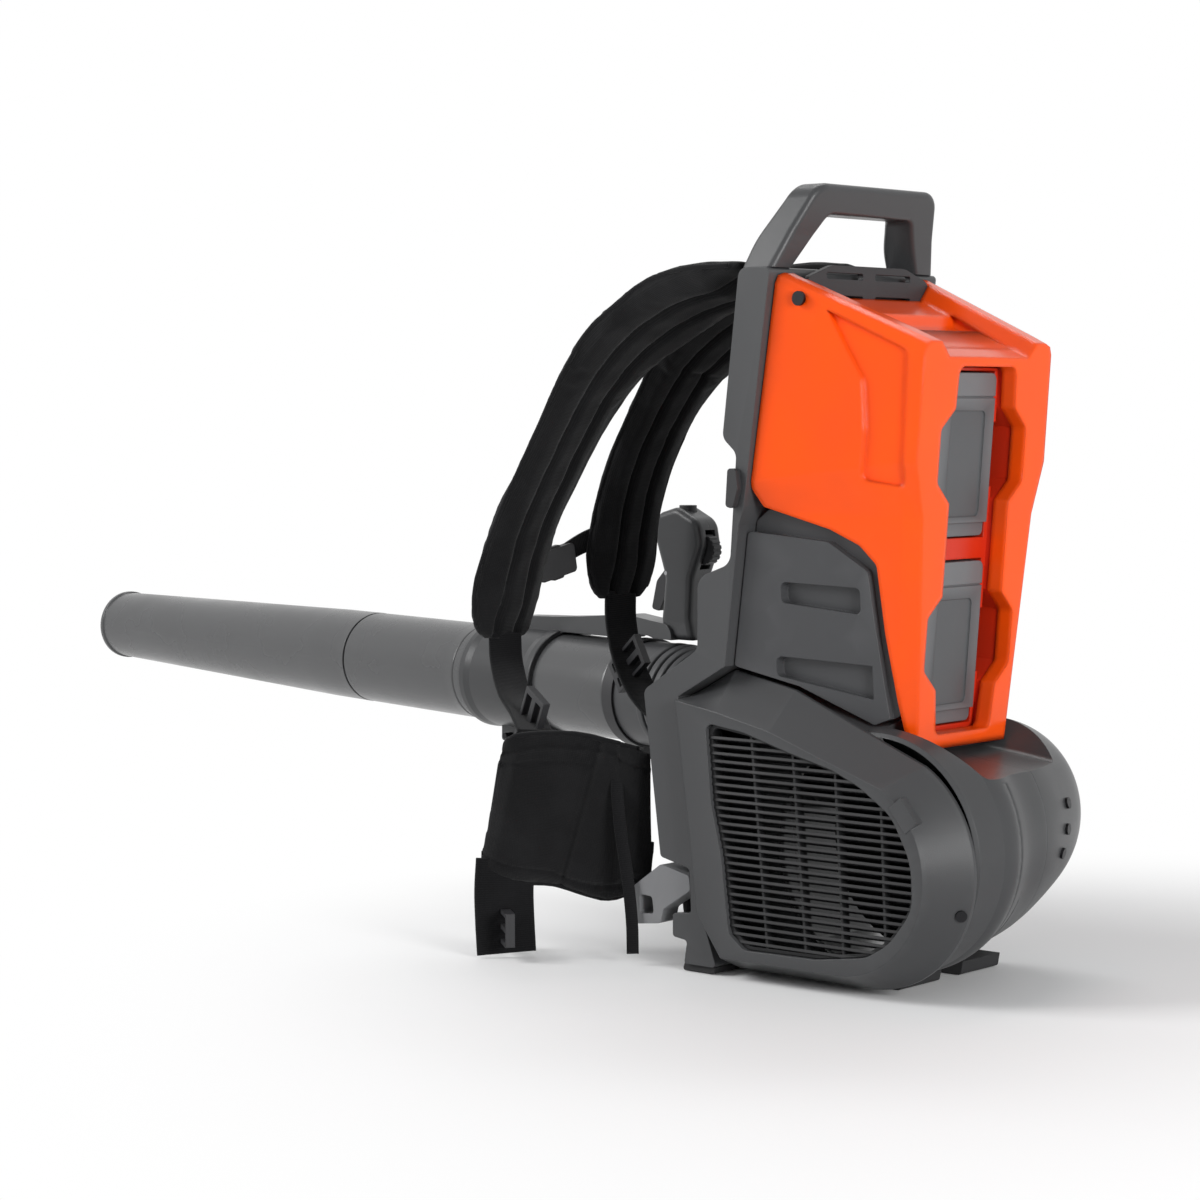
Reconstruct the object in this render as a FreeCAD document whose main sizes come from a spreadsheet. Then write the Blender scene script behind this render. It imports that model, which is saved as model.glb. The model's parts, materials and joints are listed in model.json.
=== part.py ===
import FreeCAD, Part
import math
import os
from FreeCAD import Placement, Rotation, Vector

# Battery backpack leaf blower, full size, millimetres.
# The wearer faces -X, +Y is the wearer's right, the floor is Z = 0.
# X = 0 and Y = 0 lie in the sole of the front foot strip, on the mid-plane of the frame.

SIZES = {
    "frame_width": 230, "frame_wall": 6,
    "handle_width_top": 162, "handle_width_base": 222, "handle_depth": 26, "handle_bar": 22,
    "cover_wall": 3.2, "cover_half_front": 113, "cover_half_rear": 90, "cover_half_low": 61,
    "slot_half": 42, "notch_half": 60, "notch_height": 58, "slot_lip": 14,
    "lean_deg": 4.4, "dock_x": 181, "dock_z": 186,
    "battery_width": 73, "battery_height": 130, "battery_depth": 98, "battery_recess": 16,
    "battery_low_w": 17, "battery_high_w": 167, "bay_gap": 1.5, "dock_wall": 3,
    "fan_x": 163, "fan_z": 108, "fan_radius": 65, "housing_wall": 3,
    "rim_y": 92, "grille_y": 125, "split_y": 8,
    "blade_count": 13, "louvre_count": 27, "louvre_pitch": 6.2,
    "duct_radius": 46, "duct_wall": 3,
    "hose_radius": 49, "hose_bore": 42, "hose_ribs": 16,
    "tube_radius": 47, "tube_wall": 2.6, "middle_radius": 46, "tip_radius": 36.5,
    "tube_splay": 9, "tube_rise": 0.8, "tube_x": -325, "tube_y": 158, "tube_z": 192,
    "collar_start": 54, "collar_length": 108, "middle_end": 374, "nozzle_length": 552,
    "pad_width": 78, "pad_thick": 17, "pad_spread": 78, "pad_twist": 11,
    "wing_thick": 16, "belt_thick": 2.5, "webbing_width": 38,
}

doc = FreeCAD.newDocument("backpack_blower")
sheet = doc.addObject("Spreadsheet::Sheet", "sizes")
for row, (alias, number) in enumerate(SIZES.items(), 1):
    sheet.set(f"A{row}", alias)
    sheet.set(f"B{row}", str(number))
    sheet.setAlias(f"B{row}", alias)
doc.recompute()

PIECES = []


def size(alias):
    """A driving dimension read from the sheet."""
    return float(sheet.get(alias))


# Places worked out from the driving dimensions.
HALF_FRAME = size("frame_width") / 2
DOCK = Placement(Vector(size("dock_x"), 0, size("dock_z")), Rotation(Vector(0, 1, 0), size("lean_deg")))
SPLAY = math.radians(size("tube_splay"))
RISE = math.radians(size("tube_rise"))
TUBE_DIR = Vector(-math.cos(SPLAY) * math.cos(RISE), math.sin(SPLAY) * math.cos(RISE), math.sin(RISE))
TUBE_START = Vector(size("tube_x"), size("tube_y"), size("tube_z"))
TUBE = Placement(TUBE_START, Rotation(TUBE_DIR, Vector(), Vector(0, 0, 1), "XZY"))
OUTLET_END = Vector(-45, 85, 168)
OUTLET_DIR = Vector(-0.955, 0.292, 0.06).normalize()
AXIS_Y = Rotation(Vector(1, 0, 0), 90)


# Outlines, sketches and the solids made from them.

def rounded(corners):
    """Closed outline through (x, y) or (x, y, radius) corners, a tangent arc at each radius."""
    count = len(corners)
    starts, ends, mids = [], [], []
    for i, corner in enumerate(corners):
        here = Vector(corner[0], corner[1], 0)
        if len(corner) < 3:
            starts.append(here)
            ends.append(here)
            mids.append(None)
            continue
        before = Vector(*corners[i - 1][:2], 0) - here
        after = Vector(*corners[(i + 1) % count][:2], 0) - here
        turn = before.getAngle(after)
        reach = corner[2] / math.tan(turn / 2)
        before.normalize()
        after.normalize()
        bisector = (before + after).normalize()
        centre = here + bisector * (corner[2] / math.sin(turn / 2))
        starts.append(here + before * reach)
        ends.append(here + after * reach)
        mids.append(centre - bisector * corner[2])
    edges = []
    for i in range(count):
        if mids[i] is not None:
            edges.append(Part.Arc(starts[i], mids[i], ends[i]))
        nxt = starts[(i + 1) % count]
        if (nxt - ends[i]).Length > 1e-6:
            edges.append(Part.LineSegment(ends[i], nxt))
    return edges


PLANES = {
    "XY": Rotation(),
    "XZ": Rotation(Vector(1, 0, 0), 90),
    "YZ": Rotation(Vector(1, 1, 1), 120),
}
NORMALS = {"XY": Vector(0, 0, 1), "XZ": Vector(0, -1, 0), "YZ": Vector(1, 0, 0)}


def sketch(name, plane, edges, offset=0):
    """A sketch on a plane through the origin, moved along the plane's normal."""
    sk = doc.addObject("Sketcher::SketchObject", name)
    for edge in edges:
        sk.addGeometry(edge, False)
    sk.Placement = Placement(NORMALS[plane] * offset, PLANES[plane])
    return sk


def prism(name, plane, edges, start, length):
    """An outline extruded along its plane's normal; length is a sheet expression or a number."""
    ex = doc.addObject("Part::Extrusion", name)
    ex.Base = sketch(name + "_outline", plane, edges, start)
    ex.DirMode = "Custom"
    ex.Dir = NORMALS[plane]
    ex.Solid = True
    if isinstance(length, str):
        ex.setExpression("LengthFwd", length)
    else:
        ex.LengthFwd = length
    return ex


def lathe(name, edges, axis_point=Vector(), axis=Vector(1, 0, 0), plane="XZ"):
    """An outline in the plane turned a full turn about an axis."""
    turned = doc.addObject("Part::Revolution", name)
    turned.Source = sketch(name + "_outline", plane, edges)
    turned.Axis = axis
    turned.Base = axis_point
    turned.Angle = 360
    turned.Solid = True
    return turned


def block(name, x, y, z, lx, ly, lz):
    b = doc.addObject("Part::Box", name)
    b.Placement = Placement(Vector(x, y, z), Rotation())
    for prop, value in (("Length", lx), ("Width", ly), ("Height", lz)):
        if isinstance(value, str):
            b.setExpression(prop, value)
        else:
            setattr(b, prop, value)
    return b


def rod(name, radius, height, place):
    c = doc.addObject("Part::Cylinder", name)
    for prop, value in (("Radius", radius), ("Height", height)):
        if isinstance(value, str):
            c.setExpression(prop, value)
        else:
            setattr(c, prop, value)
    c.Placement = place
    return c


def pipe(name, outer, inner, height, place):
    """A plain tube along the local Z of its place."""
    return cut(name, rod(name + "_outer", outer, height, place),
               [rod(name + "_bore", inner, height + 2 if not isinstance(height, str) else height + " + 2",
                    place * Placement(Vector(0, 0, -1), Rotation()))])


def join(name, solids, tidy=True):
    f = doc.addObject("Part::MultiFuse", name)
    f.Shapes = solids
    f.Refine = tidy
    return f


def cut(name, base, tools):
    if len(tools) > 1:
        tool = doc.addObject("Part::MultiFuse", name + "_tools")
        tool.Shapes = tools
    else:
        tool = tools[0]
    c = doc.addObject("Part::Cut", name)
    c.Base = base
    c.Tool = tool
    c.Refine = True
    return c


def overlap(name, solids):
    c = doc.addObject("Part::MultiCommon", name)
    c.Shapes = solids
    c.Refine = True
    return c


def solid_feature(name, shape):
    f = doc.addObject("Part::Feature", name)
    f.Shape = shape
    return f


def group(name, solids):
    """Separate solids that share a node."""
    g = doc.addObject("Part::Compound", name)
    g.Links = solids
    return g


def piece(node, obj, place=None):
    """Name a finished sub-part and list it for writing."""
    obj.Label = node
    if place is not None:
        obj.Placement = place
    PIECES.append((node, obj))
    return obj


def screw(name, radius, head, length, place):
    """A pan-head screw whose head stands at the local origin and points along local Z."""
    shank_place = place * Placement(Vector(0, 0, -length), Rotation())
    return join(name, [rod(name + "_head", radius * 1.9, head, place),
                       rod(name + "_shank", radius, length, shank_place)])


# The back frame and what is fastened to it.

FRAME_SIDE = [(45, 566, 8), (29, 432, 10), (43, 420, 10), (37, 332, 12), (4, 320, 14), (4, 262, 10), (-52, 226, 8),
              (-34, 91, 4), (-4, 84, 4), (-2, 48, 3), (-21, 46, 3), (-21, 27, 3), (-6, 25, 3), (-9, 6, 2),
              (24, 6, 3), (8, 50), (2, 103), (-16, 223), (32, 250), (45.5, 363), (50.5, 378), (75.4, 566, 4)]
FRAME_HOLLOW = [(-100, 556), (66.5, 556), (43, 388), (36.5, 370), (24, 257), (-23, 229), (-5, 103), (1, 50),
                (6, 18), (-100, 18)]


def back_frame():
    shell = prism("frame_profile", "XZ", rounded(FRAME_SIDE), -HALF_FRAME, "sizes.frame_width")
    hollow = prism("frame_hollow", "XZ", rounded(FRAME_HOLLOW), -HALF_FRAME + size("frame_wall"),
                   "sizes.frame_width - 2 * sizes.frame_wall")
    duct_way = rod("frame_duct_way", "sizes.duct_radius + 8", 200,
                   Placement(OUTLET_END - OUTLET_DIR * 90, Rotation(Vector(0, 0, 1), OUTLET_DIR)))
    windows = []
    for z0, z1, half in ((398, 446, 78), (462, 516, 72)):
        windows.append(prism(f"frame_window_{z0}", "YZ",
                             rounded([(-half, z0, 10), (half, z0, 10), (half - 6, z1, 10), (6 - half, z1, 10)]),
                             45, 60))
    tray = cut("frame_tray", shell, [hollow, duct_way] + windows)
    ribs = [block("frame_rib_low", 8, -HALF_FRAME + 2, 292, 20, "sizes.frame_width - 4", 5),
            block("frame_rib_high", 38, -HALF_FRAME + 2, 386, 12, "sizes.frame_width - 4", 5)]
    for y in (-60, 0, 60):
        ribs.append(block(f"frame_stiffener_{y + 60}", 14, y - 2, 262, 14, 4, 92))
    return piece("back_frame", join("frame_body", [tray] + ribs))


def carry_handle():
    """Arched handle whose legs lean in and deepen toward the frame's top."""
    top, base = size("handle_width_top") / 2, size("handle_width_base") / 2
    bar = size("handle_bar")
    foot, crown = 566.0, 632.4
    rise = crown - foot
    outer = rounded([(-base, foot), (base, foot), (top, crown, 20), (-top, crown, 20)])
    inner = rounded([(-base + bar + 1, foot - 5), (base - bar - 1, foot - 5), (top - bar - 3, crown - bar - 2, 10),
                     (-top + bar + 3, crown - bar - 2, 10)])
    arch = cut("handle_arch", prism("handle_outer", "YZ", outer, 30, 90), [prism("handle_inner", "YZ", inner, 29, 92)])
    side = prism("handle_side", "XZ", rounded([
        (44, foot), (49, foot + 0.32 * rise, 60), (67, foot + 0.8 * rise, 30), (74, crown + 1), (101, crown + 1),
        (84, foot + 0.4 * rise, 60), (75, foot)]), -base - 5, 2 * base + 10)
    form = overlap("handle_form", [arch, side])
    doc.recompute()
    soft = doc.addObject("Part::Fillet", "handle_soft")
    soft.Base = form
    edge_radius = 4.5
    picked = []
    for i, edge in enumerate(form.Shape.Edges, 1):
        middle = edge.tangentAt((edge.FirstParameter + edge.LastParameter) / 2)
        if abs(middle.x) < 0.75 and edge.BoundBox.ZMax > foot + 1:
            picked.append((i, edge_radius, edge_radius))
    soft.Edges = picked
    return piece("carry_handle", soft)


def vent_grille():
    """Rear-facing vent between the handle legs, with an arched top rim, two windows and a slat."""
    plate = prism("vent_plate", "YZ", rounded([(-86, 520, 4), (86, 520, 4), (84, 558, 10), (50, 569, 30),
                                               (-50, 569, 30), (-84, 558, 10)]), 83.6, 5)
    ledge = block("vent_ledge", 75.2, -82, 552, 9, 164, 5)
    windows = []
    for side, y0, y1 in (("left", -58, -8), ("right", 8, 58)):
        for z0, z1 in ((538, 545), (558, 563)):
            windows.append(prism(f"vent_window_{side}_{z0}", "YZ",
                                 rounded([(y0, z0, 2), (y1, z0, 2), (y1, z1, 2), (y0, z1, 2)]), 80, 20))
    return piece("top_vent_grille", cut("vent", join("vent_body", [plate, ledge]), windows))


def strap_anchors():
    """The bars that the straps hang on, and the moulded caps over their ends on the frame's sides."""
    bar = rod("anchor_bar", 4, 219.2, Placement(Vector(58, -109.6, 544), Rotation(Vector(1, 0, 0), -90)))
    low = rod("anchor_bar_low", 4, 219.2, Placement(Vector(-20, -109.6, 150), Rotation(Vector(1, 0, 0), -90)))
    low_trim = rod("anchor_duct_way", "sizes.duct_radius + 8", 200,
                   Placement(OUTLET_END - OUTLET_DIR * 90, Rotation(Vector(0, 0, 1), OUTLET_DIR)))
    caps = []
    for sign in (-1, 1):
        y0 = HALF_FRAME + 0.3 if sign < 0 else -HALF_FRAME - 6.3
        caps.append(prism(f"strap_cap_{sign + 1}", "XZ",
                          rounded([(37, 378, 3), (44, 376, 3), (49, 392), (47, 408, 3), (39, 408, 3)]), y0, 6))
    return piece("strap_anchors", group("anchors", [bar, cut("anchor_low", low, [low_trim])] + caps))


# The orange battery cover is a loft: front outline, crease near the rear corner, rear face.

def cover_section(x, halves, heights, crown, inset, place=Placement()):
    """Outline across the machine: narrow bottom, step under the band, dished top between two ridges."""
    low, step, mid, top = halves
    z_low, z_step, z_mid, z_top = heights
    ridge = top - 22 + 1.4 * inset
    right = [(low, z_low), (step, z_step), (mid, z_mid), (top, z_top - 9), (top - 2.6, z_top - 2.6), (top - 9, z_top),
             (ridge, z_top), (ridge - 12, z_top - crown)]
    left = [(-y, z) for y, z in reversed(right)]
    vectors = [place.multVec(Vector(x, y, z)) for y, z in right + left]
    return Part.makePolygon(vectors + vectors[:1])


def cover_mass(inset, open_ends):
    """The cover's outer form, or the room inside it when inset is its wall."""
    front = size("cover_half_front") - inset
    rear, low = size("cover_half_rear") - inset, size("cover_half_low") - inset
    drop, reach = (40, 30) if open_ends else (0, 0)
    sections = [
        cover_section(32 - reach, (104 - inset, front - 7, front, front),
                      (186 - drop, 376, 395, 581 - inset), 14, inset),
        cover_section(-14, (low + 8, rear - 7, rear + 2, rear + 1), (-drop, 185, 227, 327 - inset), 12, inset, DOCK),
        cover_section(-inset, (low, rear - 13, rear, rear - 1), (-drop, 185, 227, 322 - inset), 12, inset, DOCK)]
    return Part.makeLoft(sections, True, True)


COVER_SIDE = [(76.4, 564, 4), (53.2, 392, 9), (61, 377.5, 3), (118, 361), (143, 349, 8), (157, 334, 8), (162, 280),
              (173, 205, 8), (183, 184, 6), (260, 184), (260, 480), (208, 509, 30), (112, 552, 10)]


def slot_outline(grow):
    """The rear slot with its two pairs of finger notches, in the leaning plane of the rear face."""
    a, b = size("slot_half") + grow, size("notch_half") + grow
    reach = size("notch_height") / 2 + grow
    side = []
    for centre in (86, 233):
        side += [(a, centre - reach - 8, 3), (b, centre - reach + 8, 6), (b, centre + reach - 8, 6),
                 (a, centre + reach + 8, 3)]
    right = [(a - 4, 13 - grow, 6)] + side + [(a - 2, 303 + grow, 8)]
    left = [(-p[0],) + tuple(p[1:]) for p in reversed(right)]
    return rounded(right + left)


def outer_layer(name, depth, tool):
    """The part of a side-to-side tool that lies outside the cover's form sunk by depth."""
    core = solid_feature(name + "_core", cover_mass(depth, True))
    return cut(name, tool, [core])


def battery_cover():
    wall = size("cover_wall")
    groove_depth = 3
    side = prism("cover_side", "XZ", rounded(COVER_SIDE), -130, 260)
    outer = solid_feature("cover_outer", cover_mass(0, False))
    body = overlap("cover_body", [outer, side])
    inner = solid_feature("cover_inner", cover_mass(wall, True))
    inner_side = prism("cover_inner_side", "XZ", rounded([
        (-60, 700), (60, 600), (60, 575), (110, 548.5), (206, 505), (300, 463), (300, 190), (120, 190), (120, 120),
        (-60, 120)]), -130, 260)
    room = overlap("cover_room", [inner, inner_side])
    lip = prism("cover_lip", "YZ", slot_outline(wall), -size("slot_lip"), size("slot_lip") - 1)
    slot = prism("cover_slot", "YZ", slot_outline(0), -60, 80)
    for obj, start in ((lip, -size("slot_lip")), (slot, -60)):
        obj.Base.Placement = DOCK * obj.Base.Placement
        obj.Dir = DOCK.Rotation.multVec(Vector(1, 0, 0))
    channel = [(120, 532), (138, 500, 10), (151, 478, 14), (153, 440), (150, 400, 6), (186, 395, 6), (190, 500, 8)]
    backing_core = solid_feature("cover_backing_core", cover_mass(wall + groove_depth, True))
    backing_band = prism("cover_backing_band", "XZ",
                         rounded([(112, 541), (130, 500, 10), (144, 478, 14), (144, 392, 6), (193, 388, 6),
                                  (197, 505, 8)]), -130, 260)
    backing = cut("cover_backing", overlap("cover_backing_all", [body, backing_band]), [backing_core])
    shell = join("cover_shell", [cut("cover_walls", body, [room]), lip, backing])
    grooves = outer_layer("cover_channel", groove_depth,
                          prism("cover_channel_band", "XZ", rounded(channel), -130, 260))
    tools = [slot, grooves, block("cover_vent_way", 40, -86.5, 519.5, 49.1, 173, 100)]
    for sign in (-1, 1):
        tag = "left" if sign < 0 else "right"
        turn = Rotation(Vector(1, 0, 0), -90 * sign)
        tools.append(rod(f"cover_boss_way_{tag}", 3.2, 42, Placement(Vector(98, sign * 80, 541), turn)))
        tools.append(rod(f"cover_head_way_{tag}", 6.1, 12, Placement(Vector(98, sign * 105.2, 541), turn)))
    return piece("battery_cover", cut("cover", shell, tools))


def cover_trim():
    """The lower corner screws' boss pads sit behind the cover; four pan-head screws hold it."""
    screws = []
    for sign in (-1, 1):
        turn = Rotation(Vector(1, 0, 0), -90 * sign)
        tag = "left" if sign < 0 else "right"
        screws.append(screw(f"cover_screw_{tag}", 3, 3, 22, Placement(Vector(98, sign * 105.5, 541), turn)))
    return piece("cover_screws", group("cover_screw_set", screws))


def battery_dock():
    """Open-backed tray with two bays behind the cover's slot; finger ways are cut in its sides."""
    half, wall = 44, size("dock_wall")
    deep = -size("battery_depth") - size("battery_recess") - wall - 1
    tray = block("dock_tray", deep, -half, 9, -deep - 19, 2 * half, 292)
    tools = []
    for tag, w in (("low", size("battery_low_w")), ("high", size("battery_high_w"))):
        gap = size("bay_gap")
        tools.append(block(f"dock_bay_{tag}", deep + wall, -size("battery_width") / 2 - gap, w - gap,
                           200, size("battery_width") + 2 * gap, size("battery_height") + 2 * gap))
        tools.append(block(f"dock_finger_way_{tag}", -80, -half - 5, w + size("battery_height") / 2 - 26,
                           100, 2 * half + 10, 52))
        tools.append(block(f"dock_plug_{tag}", deep - 5, -22, w + 12, wall + 10, 44, 16))
    return piece("battery_dock", cut("dock", tray, tools), DOCK)


def dock_terminals():
    blades = []
    base_x = -size("battery_depth") - size("battery_recess") - 8
    for tag, w in (("low", size("battery_low_w")), ("high", size("battery_high_w"))):
        parts = [block(f"terminal_base_{tag}", base_x, -21, w + 13, 6.4, 42, 14)]
        for y in (-15, -5, 5, 15):
            parts.append(block(f"terminal_blade_{tag}_{y + 15}", base_x + 6, y - 0.6, w + 16, 16, 1.2, 8))
        blades.append(join(f"terminals_{tag}", parts))
    return piece("dock_terminals", group("terminal_set", blades), DOCK)


def battery(node, w):
    """Grey pack with a lighter cap at the top, side grip grooves, latch wells and terminal slots."""
    width, height, depth = size("battery_width"), size("battery_height"), size("battery_depth")
    face = -size("battery_recess")
    tag = node.split("_")[1]
    lower = prism(f"pack_body_{tag}", "YZ", rounded([(-width / 2, w, 5), (width / 2, w, 5),
                                                     (width / 2, w + height, 7), (-width / 2, w + height, 7)]),
                  face - depth, "sizes.battery_depth")
    tools = []
    middle = w + height / 2
    for sign in (-1, 1):
        side = "left" if sign < 0 else "right"
        tools.append(block(f"pack_latch_well_{tag}_{side}", face - 47, min(sign * (width / 2 - 5), sign * 50),
                           middle - 13, 30, 50 - width / 2 + 5, 26))
        for k in range(3):
            tools.append(block(f"pack_groove_{tag}_{side}_{k}", face - depth + 14,
                               min(sign * (width / 2 - 1.2), sign * 50), middle - 24 + 22 * k,
                               34, 50 - width / 2 + 1.2, 5))
    tools.append(block(f"pack_terminal_slot_{tag}", face - depth - 1, -20, w + 14.5, 16, 40, 11))
    tools.append(prism(f"pack_face_panel_{tag}", "YZ",
                       rounded([(-24, w + 16, 5), (24, w + 16, 5), (24, w + height - 30, 5),
                                (-24, w + height - 30, 5)]), face - 1.2, 4))
    tools.append(block(f"pack_cap_seam_{tag}", face - 1.5, -40, w + height - 20, 4, 80, 1.6))
    tools.append(block(f"pack_foot_step_{tag}", face - 3.5, -40, w - 1, 6, 80, 12))
    return piece(node, cut(f"pack_{tag}", lower, tools), DOCK)


def latches():
    width = size("battery_width")
    for tag, w in (("lower", size("battery_low_w")), ("upper", size("battery_high_w"))):
        middle = w + size("battery_height") / 2
        for sign in (-1, 1):
            side = "left" if sign < 0 else "right"
            name = f"latch_{tag}_{side}"
            outline = rounded([(0, middle - 12, 3), (6.5, middle - 12, 3), (6.5, middle + 12, 3), (0, middle + 12, 3)])
            button = prism(name + "_form", "YZ", outline, -size("battery_recess") - 45, 26)
            button.Base.Placement = Placement(Vector(0, sign * (width / 2 - 1.2) - (6.5 if sign < 0 else 0), 0),
                                              Rotation()) * button.Base.Placement
            grips = [block(f"{name}_grip_{k}", -size("battery_recess") - 42 + 6 * k,
                           sign * (width / 2 + 5.3) - 1.5, middle - 9, 2, 3, 18) for k in range(4)]
            piece(name, cut(name + "_cut", button, grips), DOCK)


def side_panels():
    """Grey panels under the cover's lip: a sunk border along the lip and two deep recesses."""
    lip = [(71, 374.6), (117.7, 360.2), (142, 348, 8), (156.2, 333, 8)]
    outline = rounded([(33.4, 250, 3), (47, 366, 3), (58, 375.2, 4)] + lip +
                      [(161.3, 280), (170, 216, 6), (150, 208), (88.5, 236)])
    field = rounded([(30, 240), (46, 358, 4), (116, 351, 8), (149, 329, 8), (154.5, 279), (163, 212), (150, 190), (80, 190)])
    sunk = 7
    wall = 3
    mass = solid_feature("panel_mass", cover_mass(0, False))
    core = solid_feature("panel_core", cover_mass(wall, True))
    deep = solid_feature("panel_deep_core", cover_mass(wall + sunk, True))
    band = prism("panel_band", "XZ", outline, -130, 260)
    body = overlap("panel_body", [mass, band])
    border = cut("panel_border", block("panel_border_room", 20, -130, 205, 150, 260, 180),
                 [prism("panel_field", "XZ", field, -130, 260)])
    border_back = cut("panel_border_back", block("panel_border_back_room", 20, -130, 205, 150, 260, 180),
                      [prism("panel_field_small", "XZ", rounded([
                          (30, 240), (46, 353, 4), (113, 346, 8), (144, 326, 8), (149, 279), (158, 212), (150, 190),
                          (80, 190)]), -130, 260)])
    recesses, backs = [border], [border_back]
    for tag, low, high in (("upper", [(74, 302, 5), (142, 294.5, 4)], [(142, 315.4, 4), (74, 318.5, 5)]),
                           ("lower", [(69.4, 243.6, 5), (150, 228)], [(150, 254.5), (69.4, 259.4, 5)])):
        corners = low + high
        middle = (sum(p[0] for p in corners) / 4, sum(p[1] for p in corners) / 4)
        wider = [(p[0] + math.copysign(4, p[0] - middle[0]), p[1] + math.copysign(4, p[1] - middle[1]))
                 for p in corners]
        recesses.append(prism(f"panel_recess_{tag}", "XZ", rounded(corners), -130, 260))
        backs.append(prism(f"panel_back_{tag}", "XZ", rounded(wider), -130, 260))
    backing = cut("panel_backing", overlap("panel_backing_all", [body, join("panel_backs", backs)]), [deep])
    skin = cut("panel_skin", body, [core])
    both = cut("panels_cut", join("panels", [skin, backing]),
               [outer_layer("panel_sunk", sunk, join("panel_recesses", recesses))])
    for node, y0 in (("side_panel_left", -140), ("side_panel_right", 40)):
        piece(node, overlap(node + "_half", [both, block(node + "_space", 0, y0, 150, 260, 100, 300)]))


# The fan housing: a barrel on the fan's axis joined to a box that meets the frame.

BARREL = [(93, -92), (96, -89.5), (99, -60), (97, -25), (93.5, 10), (87.5, 42), (80, 70), (71, 94), (58, 109), (40, 118)]
BARREL_CLIMB = 0.105
BOX_SIDE = [(11, 50), (5.2, 103), (-10, 214), (31.5, 244, 4), (88, 226), (150, 205), (165, 108), (150, 12, 10),
            (28, 10, 6)]


def barrel_solid(name, inset, lead):
    """Round form along the fan's axis; the circles' middles climb toward the far end."""
    def circle(radius, y):
        middle = Vector(size("fan_x"), y, size("fan_z") + max(y + 92, 0) * BARREL_CLIMB)
        return Part.Wire([Part.makeCircle(radius, middle, Vector(0, 1, 0))])

    rings = [circle(r - inset, y - (inset if r < 70 else 0)) for r, y in BARREL]
    if lead:
        rings[0] = circle(BARREL[0][0] - inset, BARREL[0][1] - lead)
    rim = solid_feature(name + "_rim", Part.makeLoft(rings[:3], True, True))
    swell = solid_feature(name + "_swell", Part.makeLoft(rings[2:], True, False))
    return join(name, [rim, swell])


def scoop(name, grow):
    """Saddle in the barrel's top that the cover's lower end rests over."""
    sloped = Placement(Vector(158 - grow, 0, 183 - grow), Rotation(Vector(0, 1, 0), 8))
    trough = prism(name, "YZ", rounded([(-58 - grow, 0, 8), (58 + grow, 0, 8), (96 + grow, 50), (-96 - grow, 50)]),
                   0, 130)
    trough.Base.Placement = sloped * trough.Base.Placement
    trough.Dir = sloped.Rotation.multVec(Vector(1, 0, 0))
    return trough


def fan_housing():
    wall = size("housing_wall")
    outer = join("housing_outer", [barrel_solid("housing_barrel", 0, 0),
                                   prism("housing_box", "XZ", rounded(BOX_SIDE), -91.5, 180)])
    box_inner = prism("housing_box_inner", "XZ",
                      rounded([(14, 52), (8.4, 103), (-6, 212), (32, 240, 3), (87, 222.6), (148, 201.8), (162, 108),
                               (148, 15, 8), (30, 13, 4)]), -110, 195)
    inner = join("housing_inner", [barrel_solid("housing_bore", wall, 20), box_inner])
    duct_way = rod("housing_duct_way", "sizes.duct_radius + 0.4", 110,
                   Placement(OUTLET_END - OUTLET_DIR * 100, Rotation(Vector(0, 0, 1), OUTLET_DIR)))
    sole = block("housing_sole_way", -100, -200, -100, 400, 400, 104)
    room = cut("housing_room", inner, [scoop("housing_scoop_inner", wall)])
    dock_way = block("housing_dock_way", -124.5, -44.6, 8.4, 144.5, 89.2, 293.6)
    dock_way.Placement = DOCK * dock_way.Placement
    shell = cut("housing_shell", outer, [scoop("housing_scoop", 0), room, duct_way, sole, dock_way])
    split = size("split_y")
    for node, y0, length in (("fan_housing_left", -150, 150 + split - 0.1), ("fan_housing_right", split + 0.1, 200)):
        slab = block(node + "_space", -60, y0, -20, 400, length, 300)
        piece(node, overlap(node + "_half", [shell, slab]))


def fan_scroll():
    """Scroll casing round the impeller with its outlet box, and the duct that turns it into a round pipe."""
    x, z = size("fan_x"), size("fan_z")
    r = size("fan_radius") - 2
    spiral = [(76, z + r), (x + r, z + r, r), (x + r, z - r, r), (x - r, z - r, r), (x - r, z + 8, 4), (76, z + 8)]
    t = 2.2
    inner_r = r - t
    spiral_in = [(60, z + inner_r), (x + inner_r, z + inner_r, inner_r), (x + inner_r, z - inner_r, inner_r),
                 (x - inner_r, z - inner_r, inner_r), (x - inner_r, z + 8 + t, 4), (60, z + 8 + t)]
    casing = prism("scroll_outer", "XZ", rounded(spiral), -58, 46)
    hollow = prism("scroll_inner", "XZ", rounded(spiral_in), -58 + t, 46 - 2 * t)
    eye = rod("scroll_eye", 46.5, 20, Placement(Vector(x, 2, z), Rotation(Vector(0, 0, 1), Vector(0, 1, 0))))
    back = rod("scroll_motor_way", 30, 20, Placement(Vector(x, 50, z), Rotation(Vector(0, 0, 1), Vector(0, 1, 0))))
    piece("fan_scroll", cut("scroll", casing, [hollow, eye, back]))


def polygon_ring(points):
    return Part.makePolygon(points + points[:1])


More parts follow.
